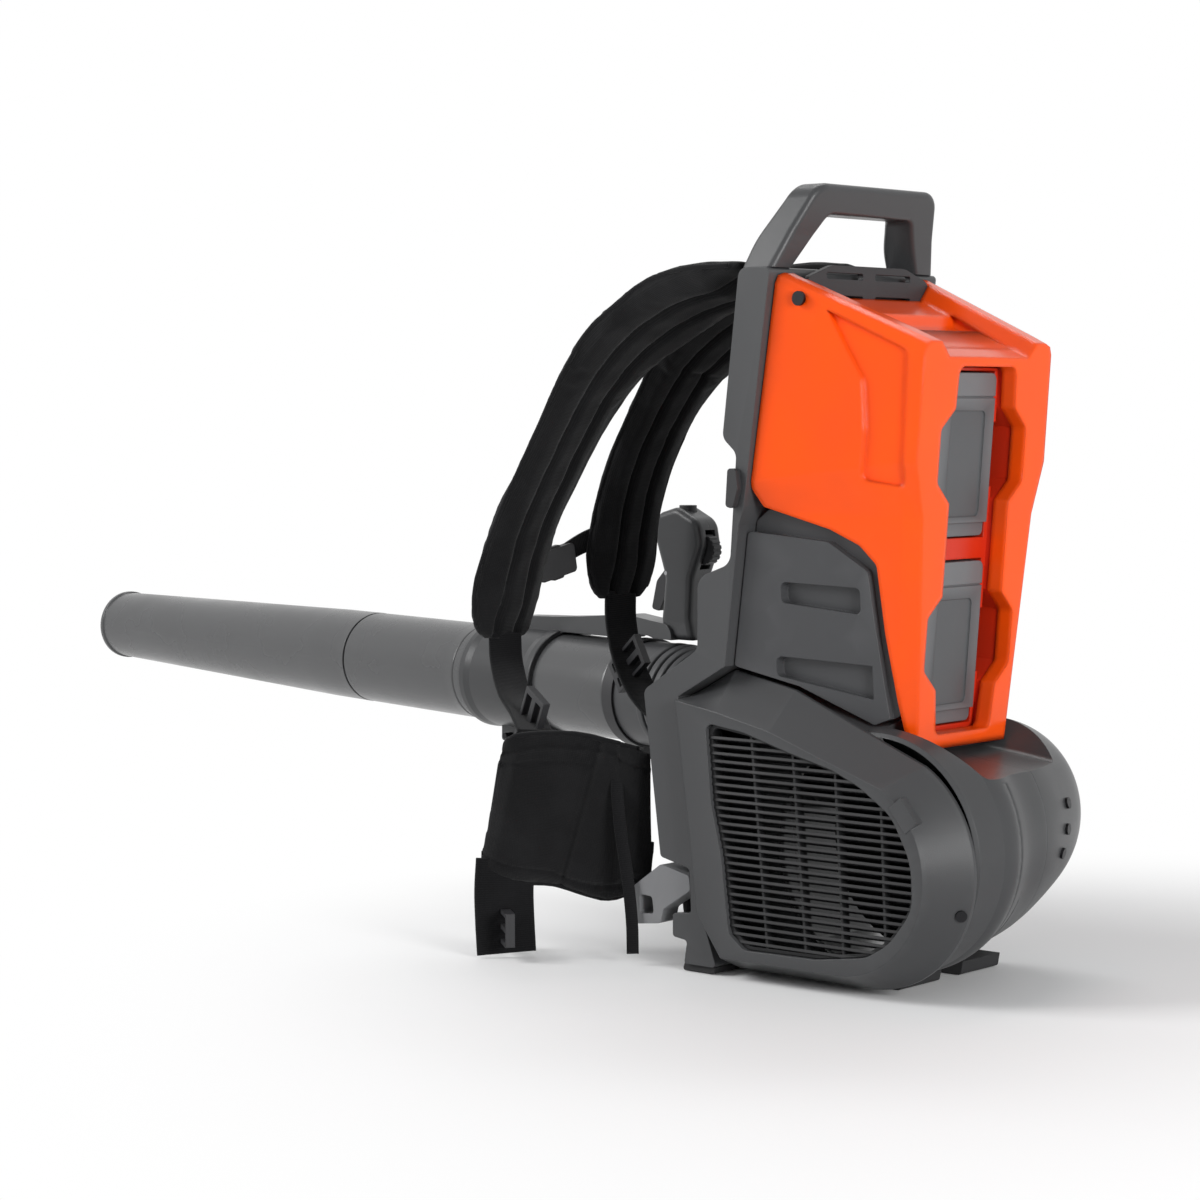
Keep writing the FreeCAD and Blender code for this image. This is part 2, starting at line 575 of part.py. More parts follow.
def outlet_duct():
    steps = 28
    outer_r, t = size("duct_radius"), size("duct_wall")
    start = OUTLET_END - OUTLET_DIR * 76
    turn = Rotation(Vector(0, 0, 1), OUTLET_DIR)
    side = turn.inverted().multVec(Vector(0, 1, 0))
    base = math.atan2(side.y, side.x)
    lofts = []
    for grow in (0, -t):
        rect, circle = [], []
        for k in range(steps):
            a = 2 * math.pi * k / steps
            c, s = math.cos(a), math.sin(a)
            reach = 1 / max(abs(c), abs(s))
            rect.append(Vector(74 if grow == 0 else 75, 35 + (22.6 + grow) * c * reach,
                               143.6 + (25.4 + grow) * s * reach))
            radius = outer_r + grow - 0.3
            circle.append(start + turn.multVec(Vector(radius * math.cos(base + a), radius * math.sin(base + a), 0))
                          + OUTLET_DIR * (1 if grow == 0 else 2))
        lofts.append(solid_feature(f"duct_loft_{'outer' if grow == 0 else 'inner'}",
                                   Part.makeLoft([polygon_ring(rect), polygon_ring(circle)], True, True)))
    place = Placement(start, turn)
    bead = rod("duct_bead", "sizes.duct_radius + 1.6", 4, place * Placement(Vector(0, 0, 66), Rotation()))
    outer = join("duct_outer", [lofts[0], rod("duct_pipe", "sizes.duct_radius", 76, place), bead], False)
    inner = [lofts[1], rod("duct_bore", "sizes.duct_radius - sizes.duct_wall", 90, place)]
    return piece("outlet_duct", cut("duct", outer, inner))


def fan_parts():
    x, z = size("fan_x"), size("fan_z")
    hub_place = Placement(Vector(x, 0, z), Rotation(Vector(0, 0, 1), Vector(0, 1, 0)))

    def ring(name, outer, inner, y, length):
        return pipe(name, outer, inner, length, hub_place * Placement(Vector(0, 0, y), Rotation()))

    funnel = lathe("inlet_profile", rounded([(46, 16), (46, 4), (50, -14, 12), (68, -22, 4), (68, -25), (48, -17, 14),
                                             (44, 2), (44, 16)]), Vector(), Vector(0, 1, 0), "XY")
    piece("inlet_ring", funnel, Placement(Vector(x, 0, z), Rotation()))

    outer_r = size("fan_radius") - 6
    tip = outer_r - 1
    sweep = math.radians(46)
    thick = 2
    curve = [(r, sweep * (r - 26) / (tip - 26)) for r in (26, (26 + tip) / 2, tip)]
    front = [Vector(r * math.cos(a), r * math.sin(a), 0) for r, a in curve]
    behind = [Vector(r * math.cos(a + thick / r), r * math.sin(a + thick / r), 0) for r, a in curve]
    blade_edges = [Part.Arc(*front), Part.LineSegment(front[2], behind[2]), Part.Arc(*reversed(behind)),
                   Part.LineSegment(behind[0], front[0])]
    blades = []
    for k in range(int(size("blade_count"))):
        blade = doc.addObject("Part::Extrusion", f"blade_{k}")
        blade.Base = sketch(f"blade_{k}_outline", "XY", blade_edges)
        blade.DirMode = "Custom"
        blade.Dir = Vector(0, 0, 1)
        blade.LengthFwd = 30
        blade.Solid = True
        blade.Base.Placement = Placement(Vector(0, 0, 19), Rotation(Vector(0, 0, 1), 360 * k / size("blade_count")))
        blades.append(blade)
    disc = lathe("impeller_disc", rounded([(4.04, 58), (4.04, 26), (10, 26, 4), (22, 44, 8), (outer_r, 47),
                                           (outer_r, 50), (16, 50, 2), (14, 58)]),
                 Vector(), Vector(0, 1, 0), "XY")
    disc.Placement = Placement(Vector(), Rotation(Vector(1, 0, 0), 90))
    rim = pipe("impeller_rim", outer_r, 48, 2, Placement(Vector(0, 0, 18), Rotation()))
    piece("fan_impeller", join("impeller", blades + [disc, rim]),
          hub_place)
    piece("fan_shaft", rod("shaft", 4, 74, hub_place * Placement(Vector(0, 0, 22), Rotation())))
    rings = [ring("bearing_front", 11, 4.05, 64, 7), ring("bearing_rear", 11, 4.05, 88, 7)]
    piece("shaft_bearings", group("bearing_pair", rings))
    can = lathe("motor_can", rounded([(11.05, 62.5), (26, 62.5, 3), (28, 68), (28, 104, 4), (20, 110, 2), (11.05, 110)]),
                Vector(), Vector(0, 1, 0), "XY")
    can.Placement = Placement(Vector(x, 0, z), Rotation())
    piece("motor", can)
    arms = [ring("motor_mount_sleeve", 32, 28.05, 72, 20), ring("motor_mount_rim", 56, 52, 58, 22)]
    for k in range(3):
        spoke = block(f"motor_mount_arm_{k}", 30, -3, 72, 24, 6, 8)
        spoke.Placement = hub_place * Placement(Vector(), Rotation(Vector(0, 0, 1), 120 * k + 30)) * \
            Placement(Vector(30, -3, 72), Rotation())
        arms.append(spoke)
    piece("motor_mount", join("motor_mount_body", arms))


# The intake side: a bevelled cover and its louvred grille.

def intake_contour(y, corners, centre, radius, inset=0.0):
    """Outline of the intake side at one depth: straight lines to the frame, an arc round the fan."""
    focus = Vector(100, y, 112)
    shrink = 1 - inset / 95

    def place(x, z):
        return focus + (Vector(x, y, z) - focus) * shrink

    start, middle, end = (math.radians(v) for v in (58.8, -15.6, -90))
    on_arc = [place(centre[0] + radius * math.cos(a), centre[1] + radius * math.sin(a)) for a in (start, middle, end)]
    points = [on_arc[2]] + [place(x, z) for x, z in corners] + [on_arc[0]]
    edges = [Part.LineSegment(a, b).toShape() for a, b in zip(points, points[1:])]
    return Part.Wire(edges + [Part.Arc(*on_arc).toShape()])


RIM_CORNERS = [(34, 5), (10.5, 48), (4.6, 103), (-13, 224), (28, 246), (88, 233), (150, 207)]
FACE_CORNERS = [(36, 17), (12, 50), (5.5, 103), (-11, 221), (30, 214), (84, 202), (130, 186)]
GRILLE = [(20, 205, 6), (58, 200, 30), (104, 187, 60), (145, 177, 60), (171, 166, 60), (201, 146, 40), (220, 111, 60),
          (221, 75, 30), (200, 47, 50), (178, 34, 40), (130, 27, 60), (60, 26, 10), (44, 38, 12), (36, 100, 60),
          (26, 140, 60)]


def intake_mass(name, inset, lift, tail):
    contours = [intake_contour(-size("rim_y") + tail, RIM_CORNERS, (162, 100), 96, inset),
                intake_contour(-size("rim_y") - 4 + lift, RIM_CORNERS, (162, 100), 96, inset),
                intake_contour(-size("grille_y") + lift, FACE_CORNERS, (150, 97), 80, inset)]
    return solid_feature(name, Part.makeLoft(contours, True, True))


def intake_cover():
    outer = intake_mass("intake_outer", 0, 0, -0.4)
    inner = intake_mass("intake_inner", 3, 3, 20)
    opening = prism("intake_opening", "XZ", rounded(GRILLE), 100, 40)
    collar_out = prism("intake_collar", "XZ", grown_grille(3), 104, size("grille_y") - 105)
    clip = block("intake_clip", -7, -4, -12, 14, 8, 24)
    clip.Placement = Placement(Vector(212, -121.5, 147), Rotation(Vector(0, 1, 0), -40)) * clip.Placement
    shell = join("intake_shell", [cut("intake_walls", outer, [inner]), collar_out, clip])
    sole = block("intake_sole_way", -100, -200, -100, 400, 400, 104)
    return piece("intake_cover", cut("intake", shell, [opening, sole]))


def grown_grille(grow):
    """The grille opening enlarged about its middle."""
    cx, cz = 125, 115
    factor = 1 + grow / 85
    return rounded([(cx + (p[0] - cx) * factor, cz + (p[1] - cz) * factor) + tuple(p[2:]) for p in GRILLE])


def intake_grille():
    """Louvres across the intake opening, carried by four leaning ribs and a rim."""
    front = size("grille_y") - 3
    depth = 10
    slats = []
    for k in range(int(size("louvre_count"))):
        slat = block(f"louvre_{k}", 15, 0, 0, 215, depth, 2.4)
        slat.Placement = Placement(Vector(15, -front, 31 + size("louvre_pitch") * k), Rotation(Vector(1, 0, 0), -20))
        slats.append(slat)
    ribs = []
    for k, (x_top, x_low) in enumerate(((62, 81), (102, 119), (143, 155), (186, 195))):
        rib = prism(f"grille_rib_{k}", "XZ", rounded([(x_low - 1, 20), (x_low + 1, 20), (x_top + 1, 210),
                                                     (x_top - 1, 210)]), front - depth, depth - 1)
        ribs.append(rib)
    field = prism("grille_field", "XZ", grown_grille(-0.5), front - depth - 3, depth + 4)
    rim = cut("grille_rim", prism("grille_rim_outer", "XZ", grown_grille(-0.5), front - depth - 2, depth + 1),
              [prism("grille_rim_inner", "XZ", grown_grille(-3), front - depth - 5, depth + 10)])
    return piece("intake_grille", join("grille", [overlap("grille_bars", [join("grille_all", slats + ribs), field]),
                                                  rim]))


def feet():
    strip = prism("foot_strip", "XZ", rounded([(-13, 0, 2), (19, 0, 2), (21, 5.6), (-11, 5.6)]), -112, 224)
    treads = [block(f"foot_groove_{k}", -20, y - 3, -1, 60, 6, 2.6) for k, y in enumerate(range(-75, 76, 30))]
    piece("front_foot", cut("front_foot_body", strip, treads))
    rear = []
    for sign in (-1, 1):
        y0 = sign * 42 - 27
        tag = "left" if sign < 0 else "right"
        rear.append(prism(f"rear_foot_{tag}", "XZ", rounded([(140, 0, 3), (172, 0, 3), (174, 11.2), (138, 11.2)]),
                          -y0 - 54, 54))
    piece("rear_feet", group("rear_foot_pair", rear))


def electronics():
    case = block("electronics_case", 44, -58, 262, 18, 116, 78)
    fins = [block(f"electronics_fin_{k}", 58, -54 + 9 * k, 266, 8, 5, 70) for k in range(12)]
    return piece("electronics_box", cut("electronics", case, fins))


# The blower tube: hose, swivel, collar, middle tube and nozzle along one axis.

def ring_wire(centre, direction, radius):
    """A circle square to its direction whose seam always starts on the lower side."""
    turn = Rotation(Vector(0, 0, -1), Vector(), direction, "ZXY")
    wire = Part.Wire([Part.makeCircle(radius)])
    wire.Placement = Placement(centre, turn)
    return wire


HOSE_START = OUTLET_END - OUTLET_DIR * 10
HOSE_END = TUBE_START - TUBE_DIR * 50
HOSE_REAR, HOSE_BEND, HOSE_FRONT = 34, 168, 50
HOSE_LENGTH = HOSE_REAR + HOSE_BEND + HOSE_FRONT


def hose_path(d):
    """Centre line and direction of the hose, d along it: a straight cuff, a bend and a straight cuff."""
    if d <= HOSE_REAR:
        return HOSE_START + OUTLET_DIR * d, OUTLET_DIR
    if d >= HOSE_REAR + HOSE_BEND:
        return HOSE_END + TUBE_DIR * (d - HOSE_LENGTH), TUBE_DIR
    t = (d - HOSE_REAR) / HOSE_BEND
    u = 1 - t
    p0 = HOSE_START + OUTLET_DIR * HOSE_REAR
    p3 = HOSE_END - TUBE_DIR * HOSE_FRONT
    p1, p2 = p0 + OUTLET_DIR * 62, p3 - TUBE_DIR * 62
    point = p0 * u ** 3 + p1 * (3 * u * u * t) + p2 * (3 * u * t * t) + p3 * t ** 3
    tangent = (p1 - p0) * (3 * u * u) + (p2 - p1) * (6 * u * t) + (p3 - p2) * (3 * t * t)
    return point, tangent.normalize()


def bellows_hose():
    ribs = int(size("hose_ribs"))
    crest, valley, cuff = size("hose_radius"), size("hose_radius") - 4.5, size("hose_radius") - 0.6
    first, last = 30, HOSE_LENGTH - 48
    circles = [ring_wire(*hose_path(0), cuff), ring_wire(*hose_path(first), cuff)]
    step = (last - first) / ribs
    for k in range(ribs):
        for share, radius in ((0.14, valley), (0.36, valley), (0.60, crest), (0.90, crest)):
            circles.append(ring_wire(*hose_path(first + step * (k + share)), radius))
    circles += [ring_wire(*hose_path(last), cuff), ring_wire(*hose_path(HOSE_LENGTH), cuff)]
    outer = solid_feature("hose_outer", Part.makeLoft(circles, True, True))
    bore = [ring_wire(*hose_path(-4 + (HOSE_LENGTH + 8) * k / 14), size("hose_bore")) for k in range(15)]
    inner = solid_feature("hose_bore_form", Part.makeLoft(bore, True, True))
    seats = []
    for tag, centre, direction, start, length, radius in (
            ("rear", HOSE_START, OUTLET_DIR, -4, 18, "sizes.duct_radius + 0.3"),
            ("bead", HOSE_START, OUTLET_DIR, -4, 10, "sizes.duct_radius + 1.9"),
            ("front", HOSE_END, TUBE_DIR, -46, 50, "sizes.tube_radius - 0.9")):
        place = Placement(centre + direction * start, Rotation(Vector(0, 0, 1), direction))
        seats.append(rod(f"hose_seat_{tag}", radius, length, place))
    return piece("bellows_hose", cut("hose", outer, [inner] + seats))


def hose_clamps():
    for node, d, width in (("hose_clamp_rear", 18, 12), ("hose_clamp_front", HOSE_LENGTH - 9, 14)):
        centre, direction = hose_path(d)
        place = Placement(centre, Rotation(Vector(0, 0, -1), Vector(), direction, "ZXY"))
        r = size("hose_radius") - 0.3
        band = pipe(node + "_band", r + 2, r, width, place * Placement(Vector(0, 0, -width / 2), Rotation()))
        lug = block(node + "_lug", 0, 0, 0, 12, 16, 10)
        lug.Placement = place * Placement(Vector(r + 1, -8, -5), Rotation())
        bolt = rod(node + "_bolt", 2.5, 24, place * Placement(Vector(r + 7, -12, 0), Rotation(Vector(1, 0, 0), -90)))
        piece(node, join(node + "_body", [band, lug, bolt]))


def tube_lathe(name, points):
    """A body of revolution on the tube's axis from (station, radius) corners."""
    return lathe(name, rounded(points), Vector(), Vector(1, 0, 0), "XY")


def tube_parts():
    r, t = size("tube_radius"), size("tube_wall")
    spigot = r - 1.4
    swivel = tube_lathe("swivel_form", [(-94, spigot), (-49.5, spigot), (-49, r - 0.5), (-46, r, 2), (176, r),
                                        (176, r - t), (-30, r - t), (-44, spigot - t), (-94, spigot - t)])
    piece("swivel_tube", swivel, TUBE)
    m = size("middle_radius")
    end = size("middle_end")
    inner_r = r - t
    lap, neck = inner_r - 0.4, m - 4.4
    middle = tube_lathe("middle_form", [(60, lap), (176.6, lap), (177, m + 1.2, 2), (190, m + 0.6),
                                        (end - 14, m - 0.4), (end - 12, neck + 0.4), (end + 24, neck),
                                        (end + 24, neck - t), (end - 13, neck - t), (end - 20, m - t),
                                        (192, m - t), (180, lap - t), (60, lap - t)])
    piece("middle_tube", middle, TUBE)
    tip = size("tip_radius")
    start, length = end - 11.4, size("nozzle_length") - 66
    stop = start + length
    nozzle = tube_lathe("nozzle_form", [(start, m - 0.2), (start + 60, m - 0.6), (start + 220, m - 4),
                                        (stop - 5, tip), (stop - 4, tip + 1.4), (stop, tip + 1.4),
                                        (stop, tip - t), (stop - 24, tip - t), (start + 220, m - 4 - t),
                                        (start + 45, m - 3.6), (start, m - 3.6)])
    slot = block("nozzle_bayonet_slot", start + 22, -9, m - 12, 10, 18, 20)
    slot_run = block("nozzle_bayonet_run", start - 5, 3, m - 12, 30, 6, 20)
    mark = rod("nozzle_mark", 2.2, 20, Placement(Vector(start + 50, -22, m - 14), Rotation(Vector(1, 0, 0), 25)))
    for tool in (slot, slot_run):
        tool.Placement = Placement(Vector(), Rotation(Vector(1, 0, 0), 28)) * tool.Placement
    piece("nozzle", cut("nozzle_body", nozzle, [slot, slot_run, mark]), TUBE)


def handle_collar():
    """Split clamp collar on the tube with the arm that carries the control handle."""
    r = size("tube_radius") + 0.35
    start, length = size("collar_start"), size("collar_length")
    band = tube_lathe("collar_form", [(start, r), (start, r + 4.4, 1.5), (start + 8, r + 4.4, 4), (start + 16, r + 3),
                                      (start + length - 16, r + 3), (start + length - 8, r + 4.4, 4),
                                      (start + length, r + 4.4, 1.5), (start + length, r)])
    arm = prism("collar_arm", "XZ", rounded([
        (-104, 52.5), (-104, 66, 12), (-40, 72, 20), (20, 66, 20), (60, 63, 30), (120, 60, 14), (150, 46, 4),
        (56, 46), (50, 49, 6), (-40, 50, 4), (-46, 54.5, 3), (-72, 54.5, 3), (-80, 52.5, 3)]), -12, 24)
    hollow = tube_lathe("collar_bore", [(start - 200, 0), (start - 200, r), (start + 200, r), (start + 200, 0)])
    lugs = [prism("collar_lug", "XZ", rounded([(start + 62, -64, 3), (start + 92, -64, 3), (start + 92, -44),
                                               (start + 62, -44)]), -9, 18)]
    gap = block("collar_gap", start - 5, -1, -80, length + 10, 2, 50)
    tab_way = rod("collar_bolt_way", 3.1, 40, Placement(Vector(start + 77, -20, -58), Rotation(Vector(1, 0, 0), -90)))
    body = cut("collar", join("collar_all", [band, arm] + lugs), [hollow, gap, tab_way])
    piece("handle_collar", body, TUBE)
    knob = join("collar_knob_body", [rod("collar_bolt", 3, 32, Placement(Vector(start + 77, -14, -58),
                                                                      Rotation(Vector(1, 0, 0), -90))),
                                     rod("collar_bolt_head", 8, 7, Placement(Vector(start + 77, -16.5, -58),
                                                                          Rotation(Vector(1, 0, 0), -90)))])
    piece("collar_clamp_bolt", knob, TUBE)


# The control handle, upright over the hose, in its own frame at the stem.

GRIP_Y = 150
GRIP = [(-236, 243, 4), (-240, 262, 20), (-236, 300, 20), (-248, 336, 14), (-246, 358, 10), (-222, 365, 14),
        (-196, 352, 16), (-192, 330, 14), (-204, 300, 30), (-206, 262, 20), (-201, 243, 4)]


def control_handle():
    half = 16
    outer = prism("grip_outer", "XZ", rounded(GRIP), -GRIP_Y - half, 2 * half)
    doc.recompute()
    soft = doc.addObject("Part::Fillet", "grip_soft")
    soft.Base = outer
    edge_radius = 6
    soft.Edges = [(i, edge_radius, edge_radius) for i, e in enumerate(outer.Shape.Edges, 1)
                  if e.BoundBox.YLength < 0.5 and e.BoundBox.ZMax > 244]
    cx, cz = -220, 302
    inner_outline = [(cx + (p[0] - cx) * 0.86, cz + (p[1] - cz) * 0.95) + ((p[2] * 0.9,) if len(p) > 2 else ())
                     for p in GRIP]
    inner = prism("grip_inner", "XZ", rounded(inner_outline), -GRIP_Y - half + 3, 2 * half - 6)
    tools = [inner,
             block("grip_trigger_way", -262, GRIP_Y - 7, 262, 42, 14, 50),
             block("grip_dial_way", -206, GRIP_Y - 7, 308, 40, 14, 36),
             rod("grip_button_way", 8.4, 30, Placement(Vector(-220, GRIP_Y, 348), Rotation())),
             rod("grip_trigger_pin_way", 2.05, 60, Placement(Vector(-234, GRIP_Y - 30, 304),
                                                             Rotation(Vector(1, 0, 0), -90)))]
    shell = cut("grip_shell", soft, tools)
    for node, y0 in (("handle_shell_left", GRIP_Y - 40), ("handle_shell_right", GRIP_Y + 0.05)):
        piece(node, overlap(node + "_half", [shell, block(node + "_space", -300, y0, 200, 150, 39.95, 200)]))
    pin = rod("trigger_pin_form", 2, 30, Placement(Vector(-234, GRIP_Y - 15, 304), Rotation(Vector(1, 0, 0), -90)))
    piece("trigger_pin", pin)
    lever = prism("trigger_form", "XZ", rounded([(-230, 308, 4), (-240, 309, 4), (-252, 296, 10), (-258, 270, 3),
                                                 (-249, 268, 2), (-243, 280, 8), (-228, 298, 4)]),
                  -GRIP_Y - 6, 12)
    eye = rod("trigger_eye", 2.05, 20, Placement(Vector(-234, GRIP_Y - 10, 304), Rotation(Vector(1, 0, 0), -90)))
    piece("throttle_trigger", cut("trigger", lever, [eye]))
    disc = rod("dial_form", 14, 11, Placement(Vector(-199, GRIP_Y - 5.5, 326), Rotation(Vector(1, 0, 0), -90)))
    notches = []
    for k in range(16):
        a = 2 * math.pi * k / 16
        notches.append(rod(f"dial_notch_{k}", 1.3, 14,
                           Placement(Vector(-199 + 14.2 * math.cos(a), GRIP_Y - 7, 326 + 14.2 * math.sin(a)),
                                     Rotation(Vector(1, 0, 0), -90))))
    piece("cruise_dial", cut("dial", disc, notches))
    button = rod("button_form", 8, 14, Placement(Vector(-220, GRIP_Y, 352), Rotation()))
    piece("power_button", button)


# Padded and woven parts.

def cushion_ring(centre, across, normal, width, thick, crown):
    """Cross-section of a pad: drawn-in side seams, a channel along each edge and a crowned middle."""
    half = width / 2
    shape = [(-half, 0.0), (-half + 4, 0.42), (-half + 12, 0.46), (-half + 15, 0.36), (-half + 19, 0.5),
             (0, 0.5 + crown), (half - 19, 0.5), (half - 15, 0.36), (half - 12, 0.46), (half - 4, 0.42), (half, 0.0)]
    upper = [centre + across * a + normal * (b * thick) for a, b in shape]
    lower = [centre + across * a - normal * (min(b, 0.42) * thick) for a, b in reversed(shape[1:-1])]
    return polygon_ring(upper + lower)


def smooth_path(points, count):
    """Evenly spaced places and tangents on a spline through the given points."""
    curve = Part.BSplineCurve()
    curve.interpolate([Vector(*p) for p in points])
    places = []
    for k in range(count):
        u = curve.FirstParameter + (curve.LastParameter - curve.FirstParameter) * k / (count - 1)
        places.append((curve.value(u), Vector(*curve.tangent(u)[0])))
    return places


PAD_PATHS = {
    "left": (-78, [(43, 561), (-30, 545), (-90, 516), (-132, 480), (-162, 441), (-189, 399), (-212, 360),
                   (-227, 322), (-236, 285), (-238, 255)]),
    "right": (68, [(43, 561), (-34, 550), (-96, 528), (-144, 497), (-176, 460), (-201, 420), (-216, 385),
                   (-225, 348), (-229, 314), (-230, 282)]),
}


def shoulder_pads():
    for side, (y, route) in PAD_PATHS.items():
        node, sign = f"shoulder_pad_{side}", math.copysign(1, y)
        rings = []
        stations = smooth_path([(x, y, z) for x, z in route], 16)
        for k, (centre, tangent) in enumerate(stations):
            level = Vector(0, 1, 0)
            normal = level.cross(tangent).normalize()
            turn = Rotation(tangent, sign * size("pad_twist"))
            across, normal = turn.multVec(level), turn.multVec(normal)
            taper = 0.72 if k == 0 else 0.9 if k == 1 else 0.86 if k == len(stations) - 1 else 1
            rings.append(cushion_ring(centre, across, normal, size("pad_width") * taper,
                                      size("pad_thick") * (0.6 if k in (0, len(stations) - 1) else 1), 0.08))
        piece(node, solid_feature(node + "_form", Part.makeLoft(rings, True, True)))


def ribbon(name, path, width, thick, across=None, count=0):
    """Woven strap: a flat rectangle carried along a path, its width held near the given direction."""
    places = smooth_path(path, count) if count else [(Vector(*p), None) for p in path]
    rings = []
    for k, (centre, tangent) in enumerate(places):
        if tangent is None:
            before = places[max(k - 1, 0)][0]
            after = places[min(k + 1, len(places) - 1)][0]
            tangent = (after - before).normalize()
        level = Vector(*(across or (0, 1, 0)))
        normal = tangent.cross(level).normalize()
        level = normal.cross(tangent).normalize()
        a, b = level * (width / 2), normal * (thick / 2)
        rings.append(polygon_ring([centre - a - b, centre + a - b, centre + a + b, centre - a + b]))
    return solid_feature(name, Part.makeLoft(rings, True, True))


def webbing():
    width, thick = size("webbing_width"), size("belt_thick")
    piece("shoulder_webbing_left", ribbon("webbing_left_form", [
        (-238, -79, 262), (-230, -86, 238), (-206, -103, 214), (-172, -124, 199), (-146, -143, 187)],
        width, thick, (0.45, 1, 0), 12))
    piece("shoulder_webbing_right", ribbon("webbing_right_form", [
        (-230, 66, 290), (-224, 60, 262), (-206, 50, 228), (-178, 40, 200), (-140, 28, 182), (-98, 19, 168),
        (-61, 14, 157)], width - 6, thick, (0.3, 1, 0), 14))
    adjusters = []
    for node, centre, axis in (("adjuster_left", (-160, -132, 194), (0.62, -0.45, -0.36)),
                               ("adjuster_right", (-206, 50, 228), (0.55, -0.2, -0.82))):
        turn = Rotation(Vector(0.3, 1, 0), Vector(), Vector(*axis), "YXZ")
        frame = block(node + "_frame", -3.2, -26, -15, 6.4, 52, 30)
        slots = [block(f"{node}_slot_{k}", -5, -21, z, 10, 42, 9) for k, z in enumerate((-12, 3))]
        ladder = cut(node + "_ladder", frame, slots)
        bar = rod(node + "_bar", 2, 46, Placement(Vector(0, -23, 0), Rotation(Vector(1, 0, 0), -90)))
        body = join(node + "_body", [ladder, bar])
        body.Placement = Placement(Vector(*centre), turn)
        adjusters.append(body)
    piece("strap_adjusters", group("adjuster_pair", adjusters))


def chest_strap():
    path = [(-229, -70, 318), (-241, -44, 308), (-247, -12, 317), (-243, 26, 334), (-226, 54, 346)]
    piece("chest_strap", ribbon("chest_strap_form", path, 20, 2, (0.3, 0, 1), 12))
    turn = Rotation(Vector(0, 1, 0.2), Vector(), Vector(1, 0, 0), "XYZ")
    halves = [prism("chest_buckle_outer", "XY", rounded([(-24, -13, 4), (24, -13, 4), (24, 13, 4), (-24, 13, 4)]),
                    2.2, 7)]
    grip = prism("chest_buckle_grip", "XY", rounded([(-8, -15, 3), (8, -15, 3), (8, 15, 3), (-8, 15, 3)]), 3.7, 4)
    piece("chest_buckle", join("chest_buckle_body", halves + [grip]),
          Placement(Vector(-248.4, -8, 319), turn))


def wing_ring(low, high, y, thick, normal):
    """Cross-section of a belt wing between its lower and upper edge, each an (x, z)."""
    n = Vector(*normal).normalize()
    tall = high[1] - low[1]
    rows = [(0, 0.0), (5, 0.42), (12, 0.5), (16, 0.38), (20, 0.5), (tall / 2, 0.56), (tall - 20, 0.5),
            (tall - 16, 0.38), (tall - 12, 0.5), (tall - 5, 0.42), (tall, 0.0)]
    middle = [Vector(low[0] + (high[0] - low[0]) * up / tall, y, low[1] + up) for up, b in rows]
    front = [m + n * (thick * row[1]) for m, row in zip(middle, rows)]
    back = [m - n * (thick * min(row[1], 0.44)) for m, row in zip(middle, rows)][1:-1]
    return polygon_ring(front + back[::-1])


def hip_belt():
    thick = size("wing_thick")
    near = [(-62, -62, -88, 66, 171), (-94, -92, -106, 46, 182), (-130, -122, -133, 57, 190),
            (-163, -143, -160, 63, 188), (-183, -152, -178, 74, 184)]
    far = [(-62, -62, 88, 26, 108), (-94, -94, 108, 22, 112), (-130, -130, 136, 16, 116),
           (-158, -158, 164, 14, 124), (-172, -172, 182, 18, 120)]
    for node, side, stations in (("hip_wing_left", 1, near), ("hip_wing_right", -1, far)):
        rings = []
        for k, (x_low, x_high, y, z_low, z_high) in enumerate(stations):
            before, after = stations[max(k - 1, 0)], stations[min(k + 1, len(stations) - 1)]
            inward = ((after[2] - before[2]) * side, (before[0] - after[0]) * side, 0)
            edge = k in (0, len(stations) - 1)
            rings.append(wing_ring((x_low, z_low), (x_high, z_high), y, thick * (0.6 if edge else 1), inward))
        piece(node, solid_feature(node + "_form", Part.makeLoft(rings, True, True)))
    pad_outline = [(-84, 40, 14), (-84, 196, 14), (24, 196, 14), (30, 112, 14), (84, 108, 12), (84, 30, 14),
                   (-70, 30, 14)]
    tilt = Placement(Vector(-23.4, 0, 44), Rotation(Vector(0, 1, 0), -9.4)) * Placement(Vector(0, 0, -44), Rotation())
    slab = prism("lumbar_slab", "YZ", rounded(pad_outline), -22, 22)
    slab.Base.Placement = tilt * slab.Base.Placement
    slab.Dir = tilt.Rotation.multVec(Vector(1, 0, 0))
    channels = []
    for k, z in enumerate((72, 106, 140)):
        channel = rod(f"lumbar_channel_{k}", 2.6, 140, tilt * Placement(Vector(-22.6, -70, z),
                                                                        Rotation(Vector(1, 0, 0), -90)))
        channels.append(channel)
    piece("lumbar_pad", cut("lumbar", slab, channels))
    across = (0.62, 0.78, 0)
    end = ribbon("belt_end_form", [(-161, -163, 82), (-162, -164, 56), (-162, -163, 30), (-161, -162, 3)], 50,
                 size("belt_thick"), across)
    turn = Rotation(Vector(*across), Vector(), Vector(0, 0, 1), "YXZ")
    ladder = cut("belt_buckle_ladder", block("belt_buckle_frame", -4, -27, -14, 8, 64, 28),
                 [block("belt_buckle_slot_low", -6, -25.8, -10.5, 12, 53.6, 8.5),
                  block("belt_buckle_slot_high", -6, -25.8, 2, 12, 53.6, 8.5)])
    piece("belt_buckle", ladder, Placement(Vector(-161.9, -162.9, 26), turn))
    tail = ribbon("belt_tail_form", [(-88, -106, 160), (-82, -113, 140), (-74, -118, 108), (-64, -121, 70),
                                     (-59, -121.5, 36), (-58, -121.5, 9)], 10, 2, (0.76, 0.65, 0))
    piece("belt_webbing", group("belt_webbing_ends", [end, tail]))


